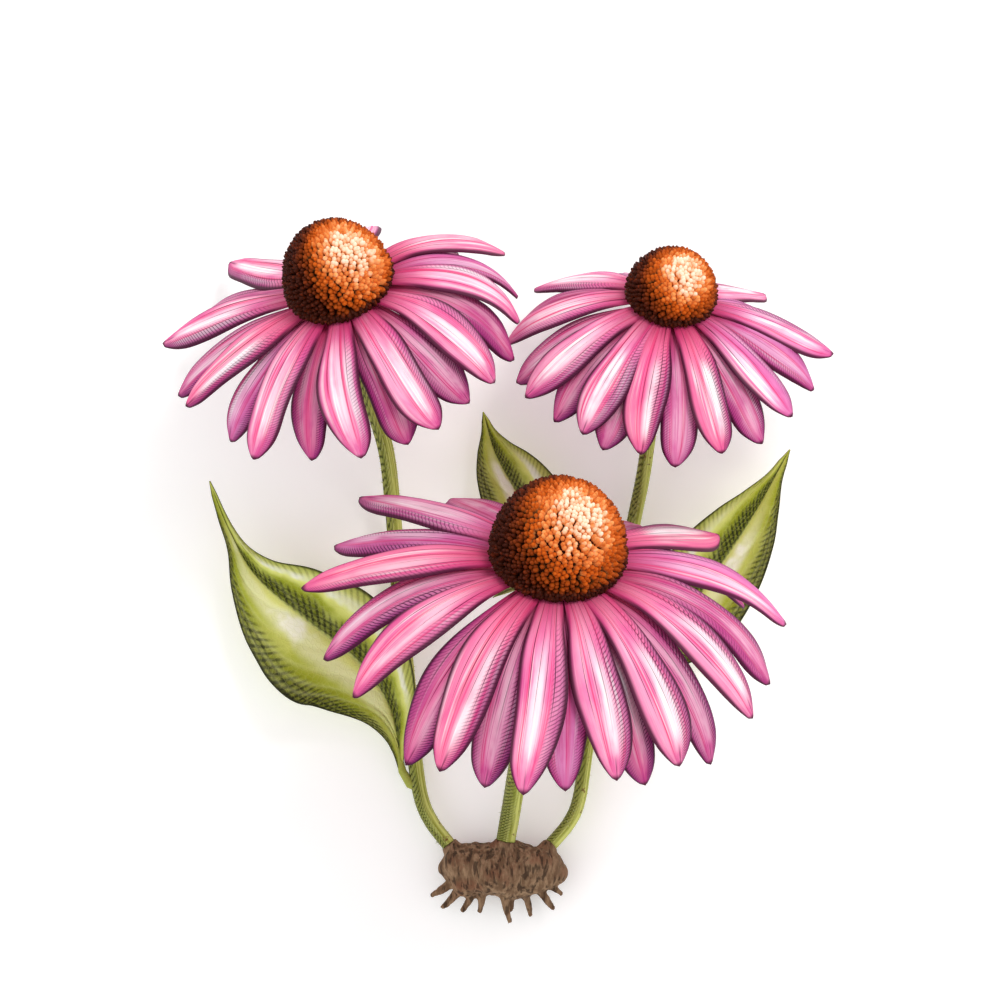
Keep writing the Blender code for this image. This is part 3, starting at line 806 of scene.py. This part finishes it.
SPIRAL_INPUTS = (
    ("Count", "Int"), ("Radius", "Float"), ("Rise", "Float"), ("Seat", "Float"),
    ("Low Reach", "Float"), ("First Cosine", "Float"), ("Last Cosine", "Float"),
    ("Packing", "Float"), ("Aim Up", "Float"), ("Inner Size", "Float"), ("Outer Size", "Float"),
    ("Sunny Side", "Vector"), ("Template", "Object"), ("Material", "Material"), ("Seed", "Int"),
)
BRISTLE_INPUTS = (
    ("Density", "Float"), ("Length", "Float"), ("Radius", "Float"),
    ("Material", "Material"), ("Seed", "Int"),
)


def start_tree(name, inputs):
    """Geometry Nodes tree with named inputs; returns its maker, its inputs and its output."""
    tree = bpy.data.node_groups.new(name, "GeometryNodeTree")
    tree.interface.new_socket("Geometry", in_out="OUTPUT", socket_type="NodeSocketGeometry")
    tree.interface.new_socket("Geometry", in_out="INPUT", socket_type="NodeSocketGeometry")
    for label, kind in inputs:
        tree.interface.new_socket(label, in_out="INPUT", socket_type="NodeSocket" + kind)
    maker = Maker(tree)
    entry = tree.nodes.new("NodeGroupInput")
    given = {socket.name: Wire(maker, socket) for socket in entry.outputs if socket.name}
    return maker, given, tree.nodes.new("NodeGroupOutput")


def close_tree(m, given, result, points, template, aim, size, labels=()):
    """Stand template copies on the points, label them and make them one mesh with a material."""
    turn = m.make("FunctionNodeAlignRotationToVector", {"Vector": aim}, settings={"axis": "Z"})
    solid = m.make("GeometryNodeInstanceOnPoints", {"Points": points, "Instance": template,
                                                    "Rotation": turn, "Scale": size})
    for label, value in labels:
        solid = m.make("GeometryNodeStoreNamedAttribute",
                       {"Geometry": solid, "Name": label, "Value": value},
                       settings={"data_type": "FLOAT", "domain": "INSTANCE"})
    solid = m.make("GeometryNodeRealizeInstances", {"Geometry": solid})
    solid = m.make("GeometryNodeSetMaterial", {"Geometry": solid, "Material": given["Material"]})
    m.tree.links.new(solid.socket, result.inputs[0])
    return solid


def spiral_tree():
    """Template copies on a turned head, each a golden turn after the last."""
    m, given, result = start_tree("golden_spiral", SPIRAL_INPUTS)
    index = m.make("GeometryNodeInputIndex")
    share = ((index + 0.5) / given["Count"]) ** given["Packing"]
    rise = given["First Cosine"] + share * (given["Last Cosine"] - given["First Cosine"])
    reach = (1.0 - rise * rise).most(0.0) ** 0.5
    turn = index * GOLDEN_TURN + m.random(-0.06, 0.06, given["Seed"]) / (reach + 0.15)
    high = rise.above(0.0)
    tall = given["Rise"] * high + given["Low Reach"] * (1.0 - high)
    across = given["Radius"] * reach
    x = across * turn.cosine()
    y = across * turn.sine()
    points = m.make("GeometryNodePoints", {
        "Count": given["Count"], "Position": m.vector(x, y, given["Seat"] + tall * rise)})
    lift = rise * given["Radius"] * given["Radius"] / tall
    facing = m.vector_math("NORMALIZE", m.vector(x, y, lift))
    # How far each copy faces the painted light's side, which its material turns into painted light
    # and shade
    sun = m.vector_math("DOT_PRODUCT", facing, given["Sunny Side"], out="Value")
    own = m.random(0.0, 1.0, given["Seed"] + 7)
    size = given["Inner Size"] + share * (given["Outer Size"] - given["Inner Size"])
    template = m.make("GeometryNodeObjectInfo", {"Object": given["Template"]}, out="Geometry")
    close_tree(m, given, result, points, template,
               m.vector(x, y, lift + given["Aim Up"] * given["Radius"]),
               size * (0.88 + own * 0.24), (("own", own), ("dome", share), ("sun", sun)))
    return m.tree


def bristle_tree():
    """Short tapered hairs that stand on a surface, joined to it."""
    m, given, result = start_tree("bristles", BRISTLE_INPUTS)
    spots = m.make("GeometryNodeDistributePointsOnFaces",
                   {"Mesh": given["Geometry"], "Density": given["Density"], "Seed": given["Seed"]})
    drift = m.make("FunctionNodeRandomValue", {0: (-0.5, -0.5, -0.5), 1: (0.5, 0.5, 0.5),
                                               "Seed": given["Seed"] + 3},
                   settings={"data_type": "FLOAT_VECTOR"})
    hair = m.make("GeometryNodeMeshCone", {"Vertices": 3, "Radius Top": 0.0,
                                           "Radius Bottom": given["Radius"],
                                           "Depth": given["Length"]})
    hairs = close_tree(m, given, result, spots, hair,
                       m.vector_math("ADD", m.other(spots, "Normal"), drift),
                       m.random(0.5, 1.1, given["Seed"] + 5))
    both = m.tree.nodes.new("GeometryNodeJoinGeometry")
    m.tree.links.new(hairs.socket, both.inputs[0])
    m.tree.links.new(given["Geometry"].socket, both.inputs[0])
    m.tree.links.new(both.outputs[0], result.inputs[0])
    return m.tree


def bake(piece):
    """Keep what the modifiers make as the piece's own plain mesh."""
    depsgraph = bpy.context.evaluated_depsgraph_get()
    mesh = bpy.data.meshes.new_from_object(piece.evaluated_get(depsgraph), depsgraph=depsgraph)
    mesh.name = piece.name
    piece.modifiers.clear()
    piece.data = mesh
    return mesh


def run_tree(piece, tree, values):
    """Run a tree on a piece with the values of its named inputs."""
    modifier = piece.modifiers.new(tree.name, "NODES")
    modifier.node_group = tree
    for item in tree.interface.items_tree:
        if item.in_out == "INPUT" and item.name in values:
            modifier[item.identifier] = values[item.name]
    bake(piece).shade_smooth()


def join(first, second):
    """Put the second piece's mesh into the first."""
    both = [first, second]
    with bpy.context.temp_override(active_object=first, object=first, selected_objects=both,
                                   selected_editable_objects=both):
        bpy.ops.object.join()


def stand(head, name, core, tree, values, node):
    """Run the spiral as a piece of its own, join its core to it and stand it on the head."""
    piece = add_piece(name, bmesh.new(), values["Material"])
    run_tree(piece, tree, {**values, "Seed": head["seed"]})
    join(piece, core)
    piece.data.transform(head_matrix(head))
    declare(piece, node)


# Cones and bracts

def floret_template(shape):
    """One spine: a narrow tube that swells and then runs to a sharp tip."""
    length = shape.floret_length / MM
    width = shape.floret_width / MM
    bm = bmesh.new()
    add_lathe(bm, [(radius * width, height * length) for radius, height in SPINE_PROFILE], 6)
    tip = bm.verts.layers.float.new("tip")
    for vert in bm.verts:
        vert[tip] = max(0.0, vert.co.z / length)
    return add_piece("floret_template", bm, None)


def bract_template(shape):
    """One pointed green bract, keeled and curling back, that grows along Z."""
    length = shape.bract_length / MM

    def place(s, t):
        half_width = 0.5 * shape.bract_width / MM * blend(BRACT_OUTLINE, s)
        curl = -1.9 * s * s
        keel = -0.25 * abs(t) * (1.0 - 0.6 * s)
        return Vector((t * half_width, curl + keel, s * length - 0.8))

    bm = bmesh.new()
    add_blade(bm, place, 8, 4, lambda s, t: 0.22 * (1.0 - 0.6 * abs(t)),
              lambda s, t, top: (0.0, 0.0, 0.0))
    return add_piece("bract_template", bm, None, outward=True)


def low_reach(head):
    """Half height of the cone's tucked-in lower part, drawn on to its end."""
    return (head["cone_seat"] - CONE_BASE) / math.sin(math.radians(CONE_TUCK))


def cone_profile(head, shrink):
    """The core's turned outline, set in from the florets' tips."""
    radius = head["cone_radius"] - shrink
    rise = head["cone_rise"] - shrink
    seat = head["cone_seat"]
    profile = [(0.0, CONE_BASE)]
    for step in range(19):
        turn = math.radians(-CONE_TUCK + (CONE_TUCK + 88.0) * step / 18.0)
        reach = rise if turn > 0.0 else low_reach(head)
        profile.append((radius * math.cos(turn), seat + reach * math.sin(turn)))
    profile.append((0.0, seat + rise))
    return profile


def size(label, text, value):
    return FloatProperty(name=label, description=text, default=value, unit="LENGTH")


def tint(label, text, value):
    return FloatVectorProperty(name=label, description=text, default=value, subtype="COLOR",
                               min=0.0, max=1.0)


class ConeflowerSizes(bpy.types.PropertyGroup):
    """Sizes that shape the fine surface of the plant."""

    rows: IntProperty(name="Faces Along", description="Faces along a ray", default=40, min=8)
    columns: IntProperty(name="Faces Across", description="Faces across a ray", default=20, min=6)
    ray_thickness: size("Ray Thickness", "Thickness of a ray at its root", 0.0006)
    pleat_depth: size("Pleat Depth", "Depth of the fine pleats on a ray", 0.00013)
    floret_length: size("Floret Length", "Length of a cone spine", 0.0023)
    floret_width: size("Floret Width", "Width of a cone spine", 0.0016)
    bract_length: size("Bract Length", "Length of a bract", 0.0085)
    bract_width: size("Bract Width", "Width of a bract", 0.0026)
    leaf_thickness: size("Leaf Thickness", "Thickness of a leaf", 0.0006)
    vein_depth: size("Vein Depth", "Height of a leaf's veins", 0.00035)
    rib_depth: size("Rib Depth", "Depth of the grooves along a stem", 0.0001)
    hair_length: size("Hair Length", "Length of a stem's hairs", 0.0009)
    hair_density: FloatProperty(name="Hair Density", description="Stem hairs on a square metre",
                                default=600000.0, min=0.0)


class ConeflowerColours(bpy.types.PropertyGroup):
    """Colours of the plant and of the floor under it."""

    ray_mid: tint("Ray Pink", "Main colour of the rays", (0.84, 0.17, 0.40))
    ray_light: tint("Ray Light", "Lighter parts of the rays", (0.93, 0.37, 0.55))
    ray_rose: tint("Ray Rose", "Warmer rays", (0.90, 0.17, 0.33))
    # Painted highlight down the middle of the rays
    ray_pale_highlight: tint("Ray Pale", "Stripes along the rays", (1.0, 0.89, 0.92))
    ray_deep: tint("Ray Deep", "Edges and tips of the rays", (0.58, 0.034, 0.22))
    ray_mauve: tint("Ray Mauve", "Cooler rays", (0.70, 0.22, 0.52))
    ray_crimson: tint("Ray Crimson", "Stripes beside the pale ones", (0.80, 0.035, 0.15))
    # Painted shade in fine strokes
    ray_shade_hatch: tint("Ray Strokes", "Fine slanting strokes by the margins", (0.06, 0.004, 0.04))
    ray_rim: tint("Ray Rim", "Thin margin of the rays", (0.045, 0.003, 0.02))
    # Partly painted shade by the cone
    ray_root: tint("Ray Root", "Roots of the rays", (0.46, 0.012, 0.08))
    ray_purple: tint("Ray Purple", "Shade on the lower rays", (0.17, 0.016, 0.14))
    ray_vein: tint("Ray Vein", "Fine veins on the rays", (0.06, 0.004, 0.03))
    ray_under: tint("Ray Underside", "Underside of the rays", (0.74, 0.30, 0.48))
    # Painted shade between the florets and on the cones' unlit side
    cone_shade_dark: tint("Cone Dark", "Between the florets", (0.028, 0.005, 0.002))
    # Painted shade on the cones' unlit side, and their random brown mottle
    cone_brown_and_shade: tint("Cone Brown", "Foot of the florets", (0.26, 0.032, 0.004))
    cone_orange: tint("Cone Orange", "Florets", (0.70, 0.13, 0.008))
    # Painted light on the florets that face the light
    cone_lit_gold: tint("Cone Gold", "Lighter florets", (0.95, 0.43, 0.14))
    # Painted highlight on the florets that face the light most
    cone_painted_highlight: tint("Cone Cream", "Bleached florets", (0.98, 0.80, 0.62))
    leaf_light: tint("Leaf Light", "Leaf by the midrib", (0.76, 0.79, 0.22))
    leaf_mid: tint("Leaf Green", "Main leaf colour", (0.33, 0.37, 0.018))
    # Painted shade at the leaf margins and in the fold
    leaf_painted_shade: tint("Leaf Dark", "Leaf margins", (0.04, 0.048, 0.002))
    # Painted shade in fine strokes, and the thin dark leaf margin
    leaf_shade_strokes_and_rim: tint("Leaf Strokes", "Fine dark veinlets", (0.008, 0.009, 0.002))
    # Painted highlight on the leaves
    leaf_painted_highlight: tint("Leaf Cream", "Pale bloom on the leaf", (0.97, 0.98, 0.80))
    leaf_vein: tint("Leaf Vein", "Leaf veins", (0.66, 0.70, 0.28))
    stem_light: tint("Stem Light", "Pale streaks of the stems", (0.68, 0.71, 0.20))
    stem_mid: tint("Stem Green", "Main stem colour", (0.32, 0.35, 0.045))
    # Painted shade down one side of the stems and bracts
    stem_painted_shade: tint("Stem Dark", "Dark patches of the stems", (0.05, 0.058, 0.006))
    stem_hair: tint("Stem Hair", "Short hairs on the stems", (0.62, 0.66, 0.36))
    bract_mid: tint("Bract Green", "Bracts", (0.13, 0.20, 0.04))
    bark: tint("Bark", "Crown bark", (0.15, 0.082, 0.042))
    bark_pale: tint("Bark Pale", "Worn ridges of the bark", (0.33, 0.21, 0.12))
    bark_red: tint("Bark Red", "Reddish patches of the bark", (0.20, 0.07, 0.035))
    floor: tint("Floor", "Floor under the plant", (0.93, 0.93, 0.92))


class CONEFLOWER_OT_rays(bpy.types.Operator):
    """Build the pink rays of the three heads"""

    bl_idname = "coneflower.rays"
    bl_label = "Rays"

    def execute(self, context):
        material = ray_material(context.scene.coneflower_colours)
        for name, head in HEADS.items():
            make_rays(name, head, context.scene.coneflower_sizes, material)
        return {"FINISHED"}


class CONEFLOWER_OT_cones(bpy.types.Operator):
    """Build the domed cones with their spiny florets"""

    bl_idname = "coneflower.cones"
    bl_label = "Cones"

    def execute(self, context):
        sizes = context.scene.coneflower_sizes
        material = floret_material(context.scene.coneflower_colours)
        template = floret_template(sizes)
        tree = spiral_tree()
        shrink = sizes.floret_length / MM * 0.72
        for name, head in HEADS.items():
            bm = bmesh.new()
            add_lathe(bm, cone_profile(head, shrink + 0.2), 64)
            bm.verts.layers.float.new("tip")
            core = add_piece("cone_" + name + "_core", bm, material)
            stand(head, "cone_" + name + "_florets", core, tree, {
                "Count": head["florets"],
                "Radius": (head["cone_radius"] - shrink) * MM,
                "Rise": (head["cone_rise"] - shrink) * MM,
                "Seat": head["cone_seat"] * MM,
                "Low Reach": low_reach(head) * MM,
                "First Cosine": 1.0, "Last Cosine": -0.45, "Packing": 1.12, "Aim Up": 0.35,
                "Inner Size": 0.78, "Outer Size": 1.05,
                "Sunny Side": head_matrix(head).to_3x3().transposed() @ PAINTED_LIGHT_DIRECTION,
                "Template": template, "Material": material,
            }, "cone_" + name)
        bpy.data.objects.remove(template)
        return {"FINISHED"}


class CONEFLOWER_OT_bracts(bpy.types.Operator):
    """Build the green cup and its bent-back bracts under each head"""

    bl_idname = "coneflower.bracts"
    bl_label = "Bracts"

    def execute(self, context):
        colours = context.scene.coneflower_colours
        material = green_material("bract", colours, colours.bract_mid, 0.5)
        template = bract_template(context.scene.coneflower_sizes)
        tree = spiral_tree()
        top = -CONE_BASE
        for name, head in HEADS.items():
            depth = CUP_DEPTH * head["cone_radius"]
            cup = head["ray_root"] - 0.5
            foot = STEMS[name]["radius"][0] + 0.8
            bm = bmesh.new()
            add_lathe(bm, ((0.0, top - depth), (foot, top - depth), (foot + 0.5, top - 0.9 * depth),
                           (foot + 0.45 * (cup - foot), top - 0.6 * depth),
                           (foot + 0.8 * (cup - foot), top - 0.3 * depth),
                           (cup, top - 0.08 * depth), (cup - 0.4, top), (0.0, top)), 48)
            core = add_piece("bracts_" + name + "_cup", bm, material)
            stand(head, "involucre_" + name, core, tree, {
                "Count": BRACT_COUNT, "Radius": (cup - 0.3) * MM, "Rise": MM, "Seat": top * MM,
                "Low Reach": depth * 1.15 * MM, "First Cosine": -0.12, "Last Cosine": -0.8,
                "Packing": 1.0, "Aim Up": -0.1, "Inner Size": 0.062 * head["cone_radius"],
                "Outer Size": 0.05 * head["cone_radius"], "Sunny Side": UP,
                "Template": template, "Material": material,
            }, "bracts_" + name)
        bpy.data.objects.remove(template)
        return {"FINISHED"}


def make_stem(name, head, sizes, material, hair, tree):
    """Grooved, slightly hairy stem along the solid's own route."""
    axis = head_axis(head)
    centre = at(*head["pixel"], head["height"])
    top = centre - axis * (COLLAR_HALF + 0.4 + CUP_DEPTH * head["cone_radius"])
    route = [top, top - axis * 6.0] + [at(*point) for point in STEMS[name]["route"]]
    upper, lower = STEMS[name]["radius"]
    steps = [ring / STEM_RINGS for ring in range(STEM_RINGS + 1)]

    def reach(ring, turn):
        s = steps[ring]
        groove = sizes.rib_depth / MM * math.cos(7.0 * turn + 1.5 * s)
        swell = 0.05 * noise.noise(Vector((s * 14.0, math.cos(turn), math.sin(turn))))
        return upper + (lower - upper) * s + groove + swell

    bm = bmesh.new()
    uv = bm.loops.layers.uv.new("blade")
    faces = add_tube(bm, [along(route, s) for s in steps], [heading(route, s, 0.01) for s in steps],
                     Vector((1.0, 0.0, 0.0)), STEM_SIDES, reach)
    for number, face in enumerate(faces[:-2]):
        ring, index = divmod(number, STEM_SIDES)
        for loop, (x, y) in zip(face.loops, ((0, 0), (1, 0), (1, 1), (0, 1))):
            loop[uv].uv = ((index + x) / STEM_SIDES, (ring + y) / STEM_RINGS)
    piece = add_piece("stalk_" + name, bm, material, outward=True)
    run_tree(piece, tree, {"Density": sizes.hair_density, "Length": sizes.hair_length,
                           "Radius": HAIR_RADIUS, "Material": hair, "Seed": head["seed"]})
    declare(piece, "stem_" + name)


class CONEFLOWER_OT_stems(bpy.types.Operator):
    """Build the three grooved, hairy stems"""

    bl_idname = "coneflower.stems"
    bl_label = "Stems"

    def execute(self, context):
        colours = context.scene.coneflower_colours
        material = green_material("stem", colours, colours.stem_mid, 0.8)
        hair = hair_material(colours)
        tree = bristle_tree()
        for name, head in HEADS.items():
            make_stem(name, head, context.scene.coneflower_sizes, material, hair, tree)
        return {"FINISHED"}


VEIN_RUNS = ((0.02, 0.62), (0.06, 0.8), (0.2, 0.88), (0.36, 0.95), (0.52, 1.02))


def vein_height(s, t):
    """Height of the midrib and of the arched side veins at a place on a leaf, 0 to 1."""
    across = abs(t)
    midrib = math.exp(-(across / 0.045) ** 2)
    side = 0.0
    for start, end in VEIN_RUNS:
        run = (s - start) / (end - start)
        if 0.0 < run < 1.0:
            track = 0.86 * math.sin(0.5 * math.pi * run) ** 0.8 * (1.15 - 0.5 * start)
            side = max(side, math.exp(-((across - track) / 0.03) ** 2) * (1.0 - run) ** 0.5)
    return max(midrib * (1.0 - 0.6 * s), 0.75 * side)


def leaf_surface(leaf, sizes):
    """Function that places a leaf's points about its midrib."""
    midrib = [at(*point) for point in leaf["midrib"]]
    fold = math.radians(leaf["fold"])

    def place(s, t):
        tangent = heading(midrib, s, 0.02)
        side = UP.cross(tangent).normalized()
        side = Matrix.Rotation(math.radians(leaf["roll"]) * min(1.0, 5.0 * s), 3, tangent) @ side
        normal = tangent.cross(side)
        full = leaf["half_width"] * blend(leaf["outline"], s)
        full *= min(1.0, 0.35 + 9.0 * s) * min(1.0, 0.3 + 12.0 * (1.0 - s))
        reach = full * abs(t)
        wave = leaf["wave"] * math.sin(2.0 * math.pi * leaf["waves"] * s + t) * t * t
        wave *= math.sin(math.pi * s)
        pucker = (sizes.vein_depth / MM) * min(1.0, full / 6.0)
        swell = 0.9 * math.sin(math.pi * min(1.0, abs(t) * 1.1))
        relief = pucker * (swell - 1.1 * vein_height(s, t))
        across = side * math.cos(fold) * (1.0 if t > 0.0 else -1.0) + normal * math.sin(fold)
        return along(midrib, s) + across * reach + normal * (wave + relief)

    return place


class CONEFLOWER_OT_leaves(bpy.types.Operator):
    """Build the three folded leaves with their veins"""

    bl_idname = "coneflower.leaves"
    bl_label = "Leaves"

    def execute(self, context):
        sizes = context.scene.coneflower_sizes
        material = leaf_material(context.scene.coneflower_colours)
        half = sizes.leaf_thickness / MM * 0.5
        for name, leaf in LEAVES.items():
            bm = bmesh.new()
            add_blade(bm, leaf_surface(leaf, sizes), LEAF_ROWS, LEAF_COLUMNS,
                      lambda s, t: half * (1.0 - 0.6 * abs(t) ** 4) * (1.0 - 0.4 * s),
                      lambda s, t, top: (min(max(0.5 + leaf["painted_lit_half"] * t * 12.0, 0.0), 1.0),
                                         vein_height(s, t), 0.0 if top else 1.0))
            add_limb(bm, [at(*point) for point in leaf["stalk"]], (1.0, 1.2, 1.0, 0.75, 0.25))
            piece = add_piece("blade_" + name, bm, material, outward=True)
            declare(piece, "leaf_" + name)
        return {"FINISHED"}


def root_rule():
    """Start, direction and length of each short cut root round the crown's lower edge."""
    draw = random.Random(ROOT_SEED)
    roots = []
    for index in range(ROOT_COUNT):
        turn = math.radians(200.0 + 140.0 * (index + 0.5) / ROOT_COUNT + draw.uniform(-5.0, 5.0))
        start = at(*CROWN_PIXEL, draw.uniform(3.4, 6.0))
        start += Vector((0.36 * CROWN_SIZE[0] * math.cos(turn),
                         0.3 * CROWN_SIZE[1] * math.sin(turn), 0.0))
        slope = draw.uniform(-0.2, 0.05)
        direction = Vector((math.cos(turn), 1.3 * math.sin(turn), slope)).normalized()
        roots.append((start, direction, ROOT_LENGTH * draw.uniform(0.75, 1.25)))
    return roots


def knit(piece):
    """Remesh overlapping closed shapes to one skin and soften it."""
    remesh = piece.modifiers.new("Knit", "REMESH")
    remesh.mode = "VOXEL"
    remesh.voxel_size = KNIT_VOXEL
    soften = piece.modifiers.new("Soften", "SMOOTH")
    soften.iterations = KNIT_PASSES
    return bake(piece)


class CONEFLOWER_OT_crown(bpy.types.Operator):
    """Build the short woody crown that the stems grow from, with its cut roots"""

    bl_idname = "coneflower.crown"
    bl_label = "Crown"

    def execute(self, context):
        material = bark_material(context.scene.coneflower_colours)
        draw = random.Random(ROOT_SEED + 1)
        half = Vector(CROWN_SIZE) * 0.5
        centre = at(*CROWN_PIXEL)
        bm = bmesh.new()
        bmesh.ops.create_uvsphere(bm, u_segments=72, v_segments=40, radius=1.0)
        for vert in bm.verts:
            knot = 1.0 + 0.09 * math.sin(5.0 * vert.co.x + 2.0) * math.cos(4.0 * vert.co.y + 1.0)
            knot += 0.06 * math.sin(9.0 * vert.co.x + 3.0 * vert.co.z)
            point = Vector((vert.co.x * half.x, vert.co.y * half.y, vert.co.z * half.z)) * knot
            vert.co = centre + point + Vector((0.0, 0.0, 0.45 * CROWN_SIZE[2]))
        for stem in STEMS.values():
            end = at(*stem["route"][-1])
            direction = (end - at(*stem["route"][-2])).normalized()
            radius = stem["radius"][1] + 0.7
            steps = [0.0, 0.12, 0.4, 0.7, 1.0]
            add_limb(bm, [end + direction * 9.0 * step for step in steps],
                     [radius - 0.35, radius, radius + 0.15, radius + 0.5, radius + 0.9], 24)
        for start, direction, length in root_rule():
            bend = Vector((draw.uniform(-1.0, 1.0), draw.uniform(-0.4, 0.4),
                           draw.uniform(-0.1, 0.5)))
            steps = [index / 8.0 for index in range(9)]
            add_limb(bm, [start + direction * length * step + bend * step * step for step in steps],
                     [ROOT_RADIUS * (1.05 - 0.6 * step) * draw.uniform(0.92, 1.1)
                      for step in steps])
        piece = add_piece("crown_bark", bm, material)
        mesh = knit(piece)
        for vert in mesh.vertices:
            spot = Vector((vert.co.x * 520.0, vert.co.y * 170.0, vert.co.z * 520.0))
            grain = noise.fractal(spot, 1.0, 2.0, 3)
            ridge = 1.0 - abs(noise.noise(spot * 0.8 + Vector((7.0, 0.0, 3.0)))) * 3.0
            vert.co += vert.normal * (0.00028 * grain + 0.0001 * ridge)
            vert.co.z = max(vert.co.z, 0.0)
        mesh.shade_smooth()
        declare(piece, "crown")
        return {"FINISHED"}


def aim_light(name, position, target, size, power, colour):
    """Round soft light, in metres, that points at the target."""
    light = bpy.data.lights.new(name, "AREA")
    light.shape = "DISK"
    light.size = size
    light.energy = power
    light.color = colour
    lamp = bpy.data.objects.new(name, light)
    lamp.location = position
    direction = Vector(target) - Vector(position)
    lamp.rotation_euler = direction.to_track_quat("-Z", "Y").to_euler()
    bpy.context.scene.collection.objects.link(lamp)


class CONEFLOWER_OT_stage(bpy.types.Operator):
    """Lay the pale floor, set the soft light and hang the camera over the plant"""

    bl_idname = "coneflower.stage"
    bl_label = "Stage"

    def execute(self, context):
        scene = context.scene
        bm = bmesh.new()
        bmesh.ops.create_grid(bm, x_segments=2, y_segments=2, size=FLOOR_HALF)
        bmesh.ops.translate(bm, verts=bm.verts, vec=(0.0, 0.0, -FLOOR_DROP))
        floor = add_piece("floor", bm, floor_material(scene.coneflower_colours))
        target = (0.0, 0.01, 0.03)
        aim_light("key", (0.80, 1.24, 1.84), target, 0.8, 24.0, (1.0, 0.985, 0.96))
        aim_light("fill", (-1.5, -0.7, 1.6), target, 1.8, 5.0, (0.96, 0.98, 1.0))
        world = bpy.data.worlds.new("studio")
        world.use_nodes = True
        sky = world.node_tree.nodes["Background"].inputs
        sky["Color"].default_value = (1.0, 1.0, 1.0, 1.0)
        sky["Strength"].default_value = 0.9
        scene.world = world
        scene.view_settings.view_transform = "Standard"
        data = bpy.data.cameras.new("overhead")
        data.lens = 375.0
        data.sensor_width = 36.0
        camera = bpy.data.objects.new("overhead", data)
        camera.location = at(500.0, 500.0, CAMERA_HEIGHT) * MM
        scene.collection.objects.link(camera)
        scene.camera = camera
        return {"FINISHED"}


PIECES = ("rays", "cones", "bracts", "stems", "leaves", "crown", "stage")


class CONEFLOWER_PT_panel(bpy.types.Panel):
    """Buttons and values of the coneflower plant"""

    bl_idname = "CONEFLOWER_PT_panel"
    bl_label = "Coneflower Plant"
    bl_space_type = "VIEW_3D"
    bl_region_type = "UI"
    bl_category = "Coneflower"

    def draw(self, context):
        for name in PIECES:
            self.layout.operator("coneflower." + name)
        for group in (context.scene.coneflower_sizes, context.scene.coneflower_colours):
            box = self.layout.box()
            for key in group.bl_rna.properties.keys():
                if key not in {"rna_type", "name"}:
                    box.prop(group, key)


CLASSES = (ConeflowerSizes, ConeflowerColours, CONEFLOWER_OT_rays, CONEFLOWER_OT_cones,
           CONEFLOWER_OT_bracts, CONEFLOWER_OT_stems, CONEFLOWER_OT_leaves,
           CONEFLOWER_OT_crown, CONEFLOWER_OT_stage, CONEFLOWER_PT_panel)


def register():
    for cls in CLASSES:
        bpy.utils.register_class(cls)
    bpy.types.Scene.coneflower_sizes = PointerProperty(type=ConeflowerSizes)
    bpy.types.Scene.coneflower_colours = PointerProperty(type=ConeflowerColours)


def unregister():
    del bpy.types.Scene.coneflower_sizes
    del bpy.types.Scene.coneflower_colours
    for cls in reversed(CLASSES):
        bpy.utils.unregister_class(cls)


def main():
    register()
    for name in PIECES:
        getattr(bpy.ops.coneflower, name)()


if __name__ == "__main__":
    main()
